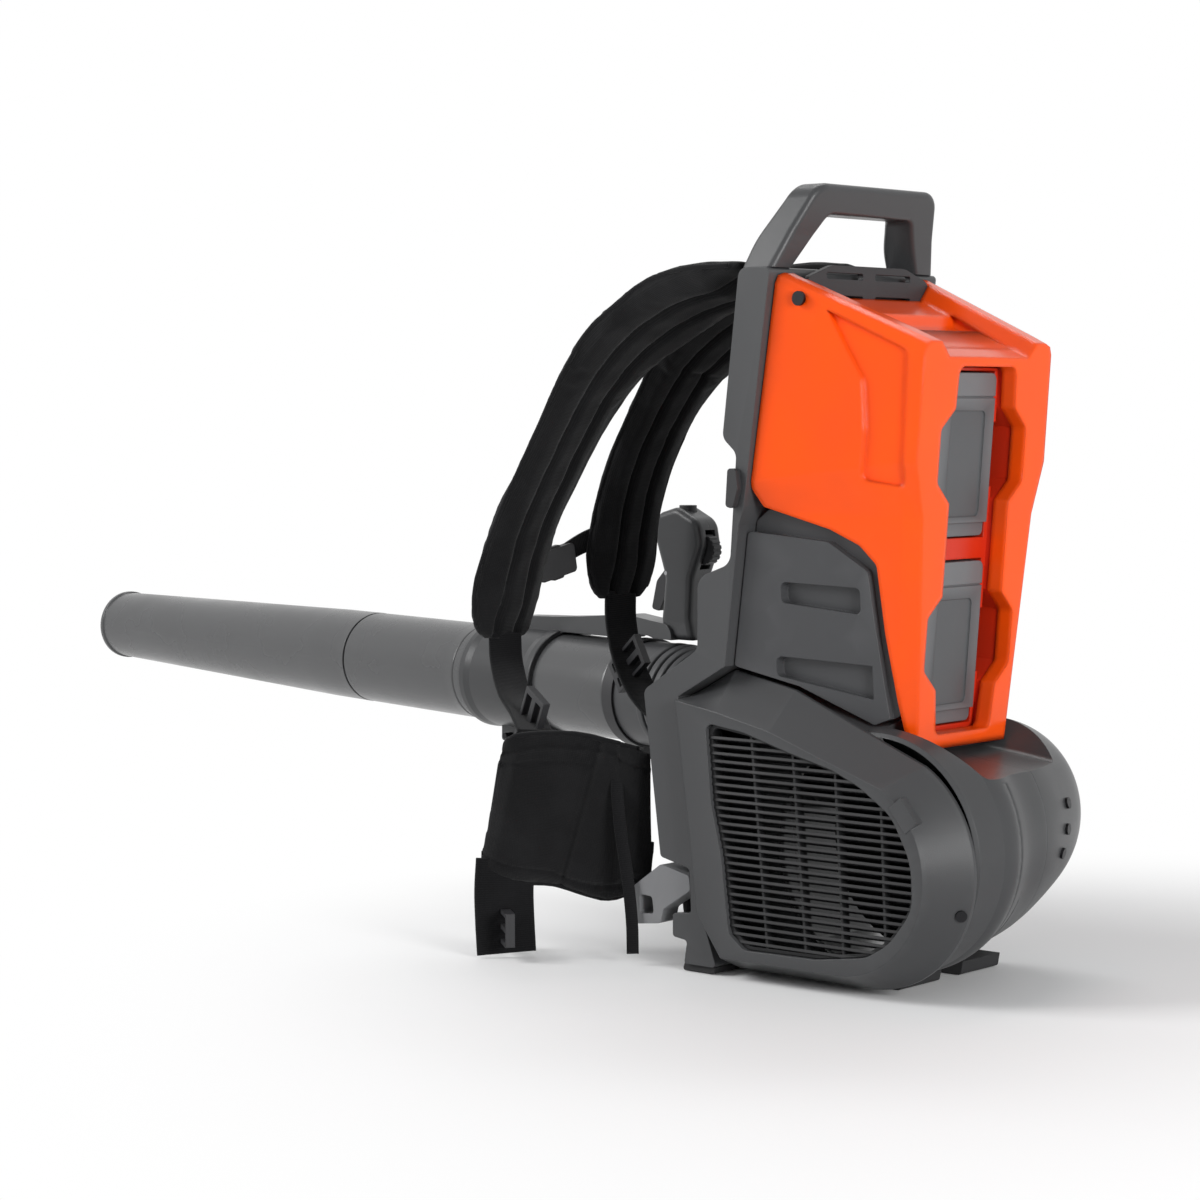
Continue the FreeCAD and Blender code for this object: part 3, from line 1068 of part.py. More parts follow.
HOUSING_SCREWS = [((245.2, 54.8, 141.8), (0.948, 0.237, 0.212)), ((248.5, 49.9, 121.8), (0.968, 0.252, -0.012)),
                  ((248, 43.6, 103.2), (0.942, 0.262, -0.211))]
INTAKE_SCREW = (249.1, -100.5, 71.6)
INTAKE_BEVEL = Vector(0.70, -0.68, -0.21)


def small_fittings():
    arm = prism("hook_arm", "XZ", rounded([(-34, 84.5, 3), (-4.4, 78, 3), (-3, 66, 4), (-31, 48, 4), (-34, 36, 4),
                                           (-59, 33, 4), (-65, 44, 4), (-64, 63, 5)]), HALF_FRAME - 20, 20)
    eye = prism("hook_eye", "XZ", rounded([(-56, 42, 3), (-41, 43, 3), (-43, 57, 3), (-56, 58, 3)]),
                HALF_FRAME - 26, 30)
    piece("belt_hook", cut("hook", arm, [eye]))
    frame_set = []
    out = Rotation(Vector(0, 0, 1), Vector(-0.991, 0, 0.134))
    for k, (x, z) in enumerate(((58.9, 500), (52.4, 452), (46.2, 412))):
        for tag, sign in (("left", -1), ("right", 1)):
            frame_set.append(screw(f"frame_screw_{tag}_{k}", 2.4, 2.2, 5, Placement(Vector(x, sign * 98, z), out)))
    piece("frame_screws", group("frame_screw_set", frame_set))
    housing_set = []
    for k, (spot, slope) in enumerate(HOUSING_SCREWS):
        out = Placement(Vector(*spot), Rotation(Vector(0, 0, 1), Vector(*slope)))
        housing_set.append(screw(f"housing_screw_{k}", 2.4, 2, 5, out))
    low = Placement(Vector(*INTAKE_SCREW), Rotation(Vector(0, 0, 1), INTAKE_BEVEL))
    housing_set.append(screw("intake_screw", 2.4, 2, 5, low))
    piece("housing_screws", group("housing_screw_set", housing_set))


def finish():
    doc.recompute()
    for obj in doc.Objects:
        if "Invalid" in obj.State or "Error" in obj.State:
            raise RuntimeError(f"{obj.Name} failed: {obj.State}")
    for node, obj in PIECES:
        if obj.Shape.isNull() or not obj.Shape.isValid():
            raise RuntimeError(f"{node} has no valid shape")
    os.makedirs("parts", exist_ok=True)
    for node, obj in PIECES:
        obj.Shape.exportStep(f"parts/{node}.step")
        box = obj.Shape.optimalBoundingBox(False)
        print(f"{node:24s} solids {len(obj.Shape.Solids)} volume {obj.Shape.Volume / 1000:8.1f} "
              f"X {box.XMin:7.1f} {box.XMax:7.1f} Y {box.YMin:7.1f} {box.YMax:7.1f} Z {box.ZMin:7.1f} {box.ZMax:7.1f}")


for build in (back_frame, carry_handle, vent_grille, strap_anchors, battery_cover, cover_trim, battery_dock,
              dock_terminals, side_panels, fan_housing, fan_scroll, outlet_duct, fan_parts, intake_cover,
              intake_grille, feet, electronics, bellows_hose, hose_clamps, tube_parts, handle_collar,
              control_handle, shoulder_pads, webbing, chest_strap, hip_belt, small_fittings):
    build()
battery("battery_lower", size("battery_low_w"))
battery("battery_upper", size("battery_high_w"))
latches()
finish()
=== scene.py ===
import json
import math

import bpy
from mathutils import Matrix, Quaternion, Vector
from mathutils.kdtree import KDTree


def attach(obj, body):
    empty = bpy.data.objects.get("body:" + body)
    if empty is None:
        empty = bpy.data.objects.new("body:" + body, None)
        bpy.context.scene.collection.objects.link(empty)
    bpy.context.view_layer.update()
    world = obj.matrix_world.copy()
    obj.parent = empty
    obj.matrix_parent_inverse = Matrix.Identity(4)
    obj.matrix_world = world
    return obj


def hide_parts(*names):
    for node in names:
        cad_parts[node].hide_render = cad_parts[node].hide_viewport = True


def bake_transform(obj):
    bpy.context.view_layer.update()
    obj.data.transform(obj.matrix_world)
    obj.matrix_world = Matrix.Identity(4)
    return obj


# Battery backpack leaf blower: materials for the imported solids, and soft pieces made here.
# Lengths are in metres unless a name ends in MM. X points back from the wearer, Y to the wearer's right
# and Z up.

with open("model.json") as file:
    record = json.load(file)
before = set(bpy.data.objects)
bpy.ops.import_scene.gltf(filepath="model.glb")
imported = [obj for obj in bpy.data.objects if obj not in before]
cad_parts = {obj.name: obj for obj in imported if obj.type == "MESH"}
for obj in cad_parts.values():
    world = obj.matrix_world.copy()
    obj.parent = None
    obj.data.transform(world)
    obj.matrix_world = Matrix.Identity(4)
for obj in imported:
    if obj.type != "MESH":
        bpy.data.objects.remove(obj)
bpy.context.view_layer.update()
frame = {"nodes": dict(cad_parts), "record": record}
MM = 0.001

# Camera, as fitted to the machine's own edges in the photograph.
PHOTO_SIDE_PX, FOCAL_LENGTH_PX, SENSOR_WIDTH_MM = 1200, 3038, 36
CAMERA_AZIMUTH, CAMERA_PITCH = math.radians(40.6), math.radians(3.767)
CAMERA_PLACE = (1.5267, -2.0117, 0.462)
CAMERA_REACH = 60

# Stage: the floor turns white between two distances from a centre under the machine.
FLOOR_HALF, FLOOR_DROP, FLOOR_TONE = 14, 0.0006, 0.9
WHITE_CENTRE, WHITE_STARTS, WHITE_ENDS = (0.28, -0.05, 0), 0.32, 0.85
WORLD_COLOUR, WORLD_LIGHT = (0.97, 0.98, 1), 0.30
LAMPS = {  # place, point aimed at, sides and power in watts
    "key_softbox": ((-1.5, -1.5, 1.55), (0, 0, 0.3), (1.1, 1.1), 40),
    "side_softbox": ((2.3, -0.8, 0.75), (0.1, 0, 0.3), (0.8, 0.9), 42),
    "top_softbox": ((-0.6, 0.9, 2.4), (0, 0, 0.3), (1.4, 0.4), 12),
}

# Air path, as in the CAD.
OUTLET_END = Vector((-0.045, 0.085, 0.168))
OUTLET_DIR = Vector((-0.955, 0.292, 0.06)).normalized()
SPLAY, RISE = math.radians(9), math.radians(0.8)
TUBE_DIR = Vector((-math.cos(SPLAY) * math.cos(RISE), math.sin(SPLAY) * math.cos(RISE), math.sin(RISE)))
TUBE_START = Vector((-0.325, 0.158, 0.192))
FAN_X, FAN_Z = 0.163, 0.108

# Hose: a straight rear cuff, a bend and a straight front cuff; each cuff's direction pulls the bend for a
# while, and the ribs lie between two distances along it.
HOSE_START = OUTLET_END - OUTLET_DIR * 0.010
HOSE_END = TUBE_START - TUBE_DIR * 0.050
HOSE_REAR, HOSE_BEND, HOSE_FRONT = 0.034, 0.168, 0.050
HOSE_LENGTH = HOSE_REAR + HOSE_BEND + HOSE_FRONT
HOSE_PULL = 0.062
HOSE_CREST, HOSE_CROWN, HOSE_CUFF = 0.0486, 0.0005, 0.0484
HOSE_RIBS, RIBS_START, RIBS_END = 16, 0.030, 0.204
# Groove between ribs: its depth, then its middle, width and end as shares of a rib's pitch.
GROOVE_DEPTH, GROOVE_MIDDLE, GROOVE_WIDTH, GROOVE_END = 0.0045, 0.25, 0.13, 0.4

# Shoulder pads: half width, thickness, what puffing draws in, the rounded tongue, channels either side of the
# middle, seams beside each channel, steps without a seam at each end, and the edge tape's radius.
PAD_HALF, PAD_THICK, PAD_DRAWN_IN, PAD_TONGUE = 0.039, 0.0150, 0.0015, 0.055
CHANNEL_OFFSET, CHANNEL_WIDTH, CHANNEL_DEPTH = 0.0120, 0.0028, 0.0066
SEAM_OFFSETS, SEAM_MARGIN, PAD_BINDING = {"inner": 0.0092, "outer": 0.0158}, 12, 0.0019
# Twist about the pad's own line: all along, and more near its top.
PAD_TWIST = {"left": (math.radians(4), math.radians(18)), "right": (math.radians(10), math.radians(16))}
PAD_ROUTES_MM = {
    "left": (-78, [(43, 561), (-30, 545), (-90, 516), (-132, 480), (-162, 441), (-189, 399), (-212, 360),
                   (-227, 322), (-236, 285), (-238, 255)]),
    "right": (68, [(43, 561), (-34, 550), (-96, 528), (-144, 497), (-176, 460), (-201, 420), (-216, 385),
                   (-225, 348), (-229, 314), (-230, 282)]),
}

# Webbing: route, width, thickness, direction across it, the node it stands for and its steps.
WEBBING_MM = {
    "webbing_left": ([(-238, -79, 262), (-230, -86, 238), (-206, -103, 214), (-172, -124, 199),
                      (-146, -143, 187)],
                     30, 2.5, (0.45, 1, 0), "shoulder_webbing_left", 60),
    "webbing_right": ([(-230, 66, 290), (-224, 60, 262), (-206, 50, 228), (-178, 40, 200), (-140, 28, 182),
                       (-98, 19, 168), (-61, 14, 157)],
                      32, 2.5, (0.3, 1, 0), "shoulder_webbing_right", 60),
    "chest_webbing": ([(-229, -70, 318), (-241, -44, 308), (-247, -12, 317), (-243, 26, 334),
                       (-226, 54, 346)],
                      20, 2, (0.3, 0, 1), "chest_strap", 60),
    "belt_end": ([(-161, -163, 82), (-162, -164, 56), (-162, -163, 30), (-161, -162, 3)],
                 50, 2.5, (0.62, 0.78, 0), "belt_webbing", 40),
    "belt_tail": ([(-88, -106, 160), (-82, -113, 140), (-74, -118, 108), (-64, -121, 70), (-59, -121.5, 36),
                   (-58, -121.5, 9)],
                  10, 2, (0.76, 0.65, 0), "belt_webbing", 60),
}
# Outer half of the webbing's section, with thicker selvedges, in shares of its width and thickness.
WEBBING_HALF = [(-0.5, 0), (-0.49, 0.62), (-0.44, 0.66), (-0.40, 0.5), (0, 0.5), (0.40, 0.5), (0.44, 0.66),
                (0.49, 0.62)]

# Belt wings: the way each faces, then stations of low X, high X, Y, low Z and high Z.
WINGS_MM = {
    "left": (1, [(-62, -62, -88, 66, 171), (-94, -92, -106, 46, 182), (-130, -122, -133, 57, 190),
                 (-163, -143, -160, 63, 188), (-183, -152, -178, 74, 184)]),
    "right": (-1, [(-62, -62, 88, 26, 108), (-94, -94, 108, 22, 112), (-130, -130, 136, 16, 116),
                   (-158, -158, 164, 14, 124), (-172, -172, 182, 18, 120)]),
}
# Thickness, place of the border's seam, edge tape's radius, share that puffing draws in at an edge and steps;
# then the darts' places as shares of the length and the height.
WING_THICK, WING_BORDER, WING_BINDING, WING_DRAWN_IN, WING_STEPS = 0.0125, 0.014, 0.0024, 0.022, 56
DART_ALONG, DART_UP = 0.46, 0.80

# Lumbar pad, up the frame's leaning front edge; its right side is cut back above a height, beside the hose.
LUMBAR_FOOT_MM, LUMBAR_LEAN = 44, math.radians(9.4)
LUMBAR_FOOT = Vector((-0.0234, 0, LUMBAR_FOOT_MM * MM))
LUMBAR_DEPTH, LUMBAR_SWELL, LUMBAR_ROUND_MM = 0.0112, 0.0085, 9
LUMBAR_LOW_MM, LUMBAR_TALL_MM, LUMBAR_HALF_MM = 31, 164, 83
LUMBAR_CUT_MM, LUMBAR_NARROW_MM, LUMBAR_SLOPE = 108, 25, 5.8
LUMBAR_CHANNELS = (0.072, 0.106, 0.140)

# Battery dock's leaning frame, the outline of the cover's slot along it, and the wall inside the slot: its
# ends along the frame's own X, and how far its two faces lie beyond the outline.
DOCK_LEAN, DOCK_ORIGIN = math.radians(4.4), Vector((0.181, 0, 0.186))
SLOT_ENDS_MM, NOTCH_MIDDLES_MM = (12, 302), (86, 233)
SLOT_SIDE_MM, NOTCH_SIDE_MM, NOTCH_HALF_MM, NOTCH_SLOPE_MM = 42, 60, 29, 8
REVEAL_REACH, REVEAL_FACES_MM = (-0.0125, -0.042), (1.0, 3.0)

# Plate round the bellmouth: its faces and inner radius, the housing wall's radius with its bulge up and back,
# and the height of the roof over the fan's axis.
BAFFLE_FRONT, BAFFLE_BACK, BAFFLE_INNER = -0.0245, -0.0225, 0.0672
BAFFLE_WALL, BAFFLE_BULGE, BAFFLE_ROOF = 0.0915, 0.0057, 0.064

# Stitch: rows of height and sideways place in radii with the share of its length, and its faces.
STITCH_PITCH, STITCH_LENGTH, STITCH_RADIUS = 0.006, 0.0036, 0.0004
STITCH_ROWS = ((-0.6, -1, 1), (1.2, -0.6, 0.8), (1.2, 0.6, 0.8), (-0.6, 1, 1))
STITCH_FACES = ((0, 1, 5, 4), (1, 2, 6, 5), (2, 3, 7, 6), (0, 3, 2, 1), (4, 5, 6, 7))


# Node helpers.

def new_object(name, data):
    """Object in the scene for a mesh, a lamp or a camera."""
    obj = bpy.data.objects.new(name, data)
    bpy.context.collection.objects.link(obj)
    return obj


def new_material(name):
    """Material with its nodes, its links and its main shader."""
    mat = bpy.data.materials.new(name)
    mat.use_nodes = True
    return mat, mat.node_tree.nodes, mat.node_tree.links, mat.node_tree.nodes["Principled BSDF"]


def join_math(nodes, links, operation, first, second):
    """One number from two nodes' outputs."""
    node = nodes.new("ShaderNodeMath")
    node.operation = operation
    links.new(first, node.inputs[0])
    links.new(second, node.inputs[1])
    return node.outputs[0]


def mix_shaders(nodes, links, factor, first, second):
    """First shader where the factor is 0, second where it is 1."""
    node = nodes.new("ShaderNodeMixShader")
    for socket, source in zip(node.inputs, (factor, first, second)):
        links.new(source, socket)
    return node.outputs[0]


def map_range(nodes, links, source, low, high, out_low, out_high):
    """Source carried from one range of numbers to another, and kept inside it."""
    node = nodes.new("ShaderNodeMapRange")
    for key, value in (("From Min", low), ("From Max", high), ("To Min", out_low), ("To Max", out_high)):
        node.inputs[key].default_value = value
    links.new(source, node.inputs["Value"])
    return node.outputs["Result"]


def mix_colour(nodes, links, factor, first, second):
    """Mix two colours, each a fixed colour or another node's output."""
    node = nodes.new("ShaderNodeMix")
    node.data_type = "RGBA"
    links.new(factor, node.inputs["Factor"])
    for socket, value in ((node.inputs["A"], first), (node.inputs["B"], second)):
        if isinstance(value, tuple):
            socket.default_value = (*value, 1)
        else:
            links.new(value, socket)
    return node.outputs["Result"]


def noise(nodes, links, coords, scale, detail=3.0, rough=0.5):
    """Cloudy noise with this many features to the metre."""
    node = nodes.new("ShaderNodeTexNoise")
    node.inputs["Scale"].default_value = scale
    node.inputs["Detail"].default_value = detail
    node.inputs["Roughness"].default_value = rough
    links.new(coords, node.inputs["Vector"])
    return node.outputs["Fac"]


def wave(nodes, links, coords, period, direction):
    """Straight bands, one to each period."""
    node = nodes.new("ShaderNodeTexWave")
    node.bands_direction = direction
    node.inputs["Scale"].default_value = math.tau / (20 * period)
    links.new(coords, node.inputs["Vector"])
    return node.outputs["Fac"]


def bump(nodes, links, height, distance, strength=1.0, normal=None):
    """Surface direction for a height map of this depth, on top of another one where it is given."""
    node = nodes.new("ShaderNodeBump")
    node.inputs["Distance"].default_value = distance
    node.inputs["Strength"].default_value = strength
    links.new(height, node.inputs["Height"])
    if normal is not None:
        links.new(normal, node.inputs["Normal"])
    return node.outputs["Normal"]


# Camera and stage.

def set_camera():
    """The camera that took the photograph."""
    back = Vector((math.sin(CAMERA_AZIMUTH) * math.cos(CAMERA_PITCH),
                   -math.cos(CAMERA_AZIMUTH) * math.cos(CAMERA_PITCH), math.sin(CAMERA_PITCH)))
    right = Vector((math.cos(CAMERA_AZIMUTH), math.sin(CAMERA_AZIMUTH), 0))
    turn = Matrix((right, back.cross(right), back)).transposed()
    data = bpy.data.cameras.new("camera")
    data.sensor_width = SENSOR_WIDTH_MM
    data.lens = FOCAL_LENGTH_PX / PHOTO_SIDE_PX * SENSOR_WIDTH_MM
    data.clip_end = CAMERA_REACH
    camera = new_object("camera", data)
    camera.matrix_world = Matrix.Translation(CAMERA_PLACE) @ turn.to_4x4()
    bpy.context.scene.camera = camera


def area_light(name, place, target, size, power):
    """Soft lamp that faces its target."""
    data = bpy.data.lights.new(name, "AREA")
    data.shape = "RECTANGLE"
    data.size, data.size_y = size
    data.energy = power
    lamp = new_object(name, data)
    lamp.location = place
    lamp.rotation_euler = (Vector(target) - Vector(place)).to_track_quat("-Z", "Y").to_euler()


def seeing_rays(nodes, links):
    """1 for the rays that look at the surround: from the camera, off gloss and through glass."""
    rays = nodes.new("ShaderNodeLightPath").outputs
    total = rays["Is Camera Ray"]
    for name in ("Is Glossy Ray", "Is Transmission Ray"):
        total = join_math(nodes, links, "MAXIMUM", total, rays[name])
    return total


def set_floor():
    """Pale floor that keeps the shadow and fades into the white surround."""
    mesh = bpy.data.meshes.new("floor")
    corners = [(x * FLOOR_HALF, y * FLOOR_HALF, 0) for x, y in ((-1, -1), (1, -1), (1, 1), (-1, 1))]
    mesh.from_pydata(corners, [], [(0, 1, 2, 3)])
    floor = new_object("floor", mesh)
    floor.location.z = -FLOOR_DROP
    mat, nodes, links, shader = new_material("floor_pale")
    shader.inputs["Base Color"].default_value = (FLOOR_TONE, FLOOR_TONE, FLOOR_TONE, 1)
    shader.inputs["Roughness"].default_value = 0.7
    glow = nodes.new("ShaderNodeEmission")
    glow.inputs["Strength"].default_value = 1
    offset = nodes.new("ShaderNodeVectorMath")
    offset.operation = "SUBTRACT"
    offset.inputs[1].default_value = WHITE_CENTRE
    links.new(nodes.new("ShaderNodeNewGeometry").outputs["Position"], offset.inputs[0])
    length = nodes.new("ShaderNodeVectorMath")
    length.operation = "LENGTH"
    links.new(offset.outputs[0], length.inputs[0])
    fade = map_range(nodes, links, length.outputs["Value"], WHITE_STARTS, WHITE_ENDS, 0, 1)
    fade.node.interpolation_type = "SMOOTHSTEP"
    white = join_math(nodes, links, "MULTIPLY", fade, seeing_rays(nodes, links))
    surface = mix_shaders(nodes, links, white, shader.outputs[0], glow.outputs[0])
    links.new(surface, nodes["Material Output"].inputs["Surface"])
    mesh.materials.append(mat)


def set_world():
    """World that lights the scene softly and looks plain white."""
    world = bpy.data.worlds.new("studio")
    bpy.context.scene.world = world
    world.use_nodes = True
    nodes, links = world.node_tree.nodes, world.node_tree.links
    nodes.clear()
    lit = nodes.new("ShaderNodeBackground")
    lit.inputs["Color"].default_value = (*WORLD_COLOUR, 1)
    lit.inputs["Strength"].default_value = WORLD_LIGHT
    seen = nodes.new("ShaderNodeBackground")
    seen.inputs["Color"].default_value = (1, 1, 1, 1)
    seen.inputs["Strength"].default_value = 1
    surface = mix_shaders(nodes, links, seeing_rays(nodes, links), lit.outputs[0], seen.outputs[0])
    links.new(surface, nodes.new("ShaderNodeOutputWorld").inputs["Surface"])


def set_stage():
    """Floor, world and soft lamps."""
    set_floor()
    set_world()
    for name, (place, target, size, power) in LAMPS.items():
        area_light(name, place, target, size, power)
    bpy.context.scene.view_settings.view_transform = "Standard"


# Materials.

# Features to the metre: uneven gloss, moulded grain, cast grain, uneven dye and lint.
CLOUDS, SPARK_GRAIN, CAST_GRAIN, DYE_CLOUDS, LINT = 14, 1500, 700, 22, 900


def moulded(name, colour, rough, grain=0.00006, edge_wear_and_highlight=0.25, edge=0.0011, blotch=0.06, gloss=0.32):
    """Moulded plastic: spark-eroded grain, uneven gloss, pale edges and softened corners; the pale edges are
    worn, and on the battery case they are also painted edge highlight.
    """
    mat, nodes, links, shader = new_material(name)
    coords = nodes.new("ShaderNodeTexCoord").outputs["Object"]
    cloudy = noise(nodes, links, coords, CLOUDS)
    fine = noise(nodes, links, coords, SPARK_GRAIN, 1)
    pointed = nodes.new("ShaderNodeNewGeometry").outputs["Pointiness"]
    # Convex edges turn paler: wear, and where the share is high, as on the battery case, painted edge
    # highlight.
    worn_and_lit_edges = map_range(nodes, links, pointed, 0.53, 0.62, 0, edge_wear_and_highlight)
    pale_wear_and_highlight = tuple(min(1, c * 1.6 + 0.03) for c in colour)
    dusty = tuple(c * 0.88 + 0.004 for c in colour)
    dust = map_range(nodes, links, cloudy, 0.35, 0.7, 0, 1)
    tone = mix_colour(nodes, links, worn_and_lit_edges, mix_colour(nodes, links, dust, colour, dusty), pale_wear_and_highlight)
    links.new(tone, shader.inputs["Base Color"])
    shader.inputs["Specular IOR Level"].default_value = gloss
    uneven = map_range(nodes, links, cloudy, 0.3, 0.7, rough - blotch, rough + blotch)
    links.new(uneven, shader.inputs["Roughness"])
    rounding = nodes.new("ShaderNodeBevel")
    rounding.samples = 4
    rounding.inputs["Radius"].default_value = edge
    normal = bump(nodes, links, fine, grain, 1.0, rounding.outputs["Normal"])
    normal = bump(nodes, links, cloudy, 0.0004, 0.35, normal)
    links.new(normal, shader.inputs["Normal"])
    return mat


def metal(name, colour, rough):
    """Cast or turned metal with a fine uneven finish."""
    mat, nodes, links, shader = new_material(name)
    coords = nodes.new("ShaderNodeTexCoord").outputs["Object"]
    fine = noise(nodes, links, coords, CAST_GRAIN, 2)
    shader.inputs["Metallic"].default_value = 1
    tone = mix_colour(nodes, links, fine, colour, tuple(c * 0.8 for c in colour))
    links.new(tone, shader.inputs["Base Color"])
    links.new(map_range(nodes, links, fine, 0.3, 0.7, rough - 0.07, rough + 0.1), shader.inputs["Roughness"])
    links.new(bump(nodes, links, fine, 0.00005), shader.inputs["Normal"])
    return mat


def woven(name, colour, pitch, depth, weft_share=1.0):
    """Woven cloth on UVs in metres: warp and weft threads with painted shade in the gaps between them, uneven
    dye and a little lint.
    """
    mat, nodes, links, shader = new_material(name)
    coords = nodes.new("ShaderNodeTexCoord").outputs
    warp = wave(nodes, links, coords["UV"], pitch, "X")
    weft = wave(nodes, links, coords["UV"], pitch * weft_share, "Y")
    thread = join_math(nodes, links, "MULTIPLY", warp, weft)
    cloudy = noise(nodes, links, coords["Object"], DYE_CLOUDS)
    fuzz = noise(nodes, links, coords["Object"], LINT, 3, 0.7)
    # Darker between the threads: painted shade in the gaps.
    thread_gap_shade = tuple(c * 0.55 for c in colour)
    faded = tuple(c * 1.5 + 0.003 for c in colour)
    tone = mix_colour(nodes, links, map_range(nodes, links, thread, 0.1, 0.7, 0, 1), thread_gap_shade, colour)
    tone = mix_colour(nodes, links, map_range(nodes, links, cloudy, 0.45, 0.75, 0, 0.35), tone, faded)
    links.new(tone, shader.inputs["Base Color"])
    for key, value in (("Roughness", 0.9), ("Specular IOR Level", 0.12), ("Sheen Weight", 0.1),
                       ("Sheen Roughness", 0.5)):
        shader.inputs[key].default_value = value
    normal = bump(nodes, links, thread, depth)
    normal = bump(nodes, links, fuzz, depth * 0.4, 0.7, normal)
    normal = bump(nodes, links, cloudy, 0.0012, 0.5, normal)
    links.new(normal, shader.inputs["Normal"])
    return mat


def make_materials():
    """One material for each slot of the record, and a few for nodes that look different in the photograph."""
    return {
        "dark_shell": moulded("dark_shell", (0.043, 0.044, 0.046), 0.34),
        "grey_shell": moulded("grey_shell", (0.052, 0.053, 0.056), 0.4),
        "black_shell": moulded("black_shell", (0.022, 0.022, 0.024), 0.5, edge_wear_and_highlight=0.12),
        "orange_shell": moulded("orange_shell", (0.93, 0.082, 0.002), 0.2, grain=0.00002, edge_wear_and_highlight=0.05,
                                edge=0.0055, blotch=0.04, gloss=0.22),
        # High share of pale edges: painted highlight along the battery case's ledges, with some wear.
        "battery_grey": moulded("battery_case", (0.074, 0.078, 0.082), 0.36, edge_wear_and_highlight=0.8, edge=0.0012),
        # Near black for the fan, the motor and the parts round them: painted shade inside the housing.
        "painted_shade_interior": moulded("painted_shade_interior", (0.005, 0.005, 0.0053), 0.7, edge_wear_and_highlight=0.05, gloss=0.1),
        "louvre_black": moulded("louvre_black", (0.016, 0.016, 0.017), 0.5, edge_wear_and_highlight=0.15, edge=0.0008,
                                gloss=0.2),
        # Darker, redder copy of the orange shell: painted shade on the battery slot's inner walls.
        "painted_shade_orange": moulded("painted_shade_orange", (0.56, 0.022, 0.003), 0.34, grain=0.00002, edge_wear_and_highlight=0.08,
                               edge=0.0016, blotch=0.04),
        "hook_grey": moulded("hook_grey", (0.15, 0.152, 0.157), 0.45),
        "screw_black": metal("screw_black", (0.03, 0.03, 0.032), 0.42),
        "latch_dark": moulded("latch_dark", (0.05, 0.05, 0.053), 0.45),
        "tube_plastic": moulded("tube_plastic", (0.066, 0.067, 0.069), 0.27, grain=0.00003, edge_wear_and_highlight=0.1,
                                gloss=0.5),
        "hose_rubber": moulded("hose_rubber", (0.062, 0.063, 0.066), 0.42, grain=0.00004, edge_wear_and_highlight=0.2),
        "foot_rubber": moulded("foot_rubber", (0.018, 0.018, 0.019), 0.75, grain=0.00008, edge_wear_and_highlight=0.1),
        "pad_fabric": woven("pad_fabric", (0.0105, 0.0105, 0.0113), 0.0013, 0.00022),
        "pad_border": woven("pad_border", (0.010, 0.010, 0.011), 0.0009, 0.00014),
        "webbing_fabric": woven("webbing_fabric", (0.009, 0.009, 0.010), 0.0018, 0.00025, weft_share=0.6),
        "thread": woven("thread", (0.03, 0.03, 0.032), 0.0006, 0.00005),
        "steel": metal("steel", (0.32, 0.32, 0.33), 0.38),
        "aluminium_cast": metal("aluminium_cast", (0.5, 0.5, 0.52), 0.45),
        "copper_contacts": metal("copper_contacts", (0.6, 0.4, 0.2), 0.35),
    }


SPECIAL_FINISH = {
    # Parts inside the housing take the near-black painted shade.
    "fan_scroll": "painted_shade_interior", "fan_impeller": "painted_shade_interior", "inlet_ring": "painted_shade_interior", "motor_mount": "painted_shade_interior",
    # The battery dock takes the darker orange copy, which is painted shade inside the slot.
    "motor": "painted_shade_interior", "intake_grille": "louvre_black", "battery_dock": "painted_shade_orange",
    "belt_hook": "hook_grey", "power_button": "black_shell", "collar_clamp_bolt": "screw_black",
    "frame_screws": "screw_black", "housing_screws": "screw_black", "cover_screws": "screw_black",
}


def dress_frame():
    """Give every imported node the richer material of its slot, or its own where the photograph differs."""
    slots = {entry["node"]: entry["material_slot"] for entry in frame["record"]["subparts"]}
    for node, obj in frame["nodes"].items():
        for slot in obj.material_slots:
            slot.material = FINISH[SPECIAL_FINISH.get(node, slots[node])]


# Curves and meshes.

def bell(offset, width):
    """1 at no offset, falling away smoothly on both sides."""
    return math.exp(-(offset / width) ** 2)


def quarter_round(share):
    """Rise from 0 to 1 along a quarter circle, then flat."""
    share = min(1, share)
    return math.sqrt(max(0.0, share * (2 - share)))


def squarish(value, power):
    """Value between -1 and 1 pushed outwards, so that a circle turns into a rounded box."""
    return math.copysign(abs(value) ** power, value)


def directions(places):
    """Unit direction of travel at each place of a line."""
    last = len(places) - 1
    return [(places[min(k + 1, last)] - places[max(k - 1, 0)]).normalized() for k in range(last + 1)]


def catmull(points, count, steps=24):
    """Evenly spaced (place, direction) pairs on a smooth curve through the points, and the curve's length."""
    points = [Vector(p) for p in points]
    points = [2 * points[0] - points[1]] + points + [2 * points[-1] - points[-2]]
    dense = []
    for a, b, c, d in zip(points, points[1:], points[2:], points[3:]):
        for k in range(steps):
            u = k / steps
            dense.append(0.5 * ((2 * b) + (c - a) * u + (2 * a - 5 * b + 4 * c - d) * u * u
                                + (3 * b - a - 3 * c + d) * u ** 3))
    dense.append(points[-2])
    lengths = [0.0]
    for a, b in zip(dense, dense[1:]):
        lengths.append(lengths[-1] + (b - a).length)
    places, j = [], 0
    for k in range(count):
        goal = lengths[-1] * k / (count - 1)
        while j < len(lengths) - 2 and lengths[j + 1] < goal:
            j += 1
        share = (goal - lengths[j]) / max(lengths[j + 1] - lengths[j], 1e-9)
        places.append(dense[j].lerp(dense[j + 1], share))
    return list(zip(places, directions(places))), lengths[-1]


def circle(centre, direction, upright, radius, sides):
    """Ring of points round a place, square to the direction; upright says where it starts."""
    side = direction.cross(upright).normalized()
    up = side.cross(direction)
    angles = (math.tau * k / sides for k in range(sides))
    return [centre + (side * math.cos(a) + up * math.sin(a)) * radius for a in angles]


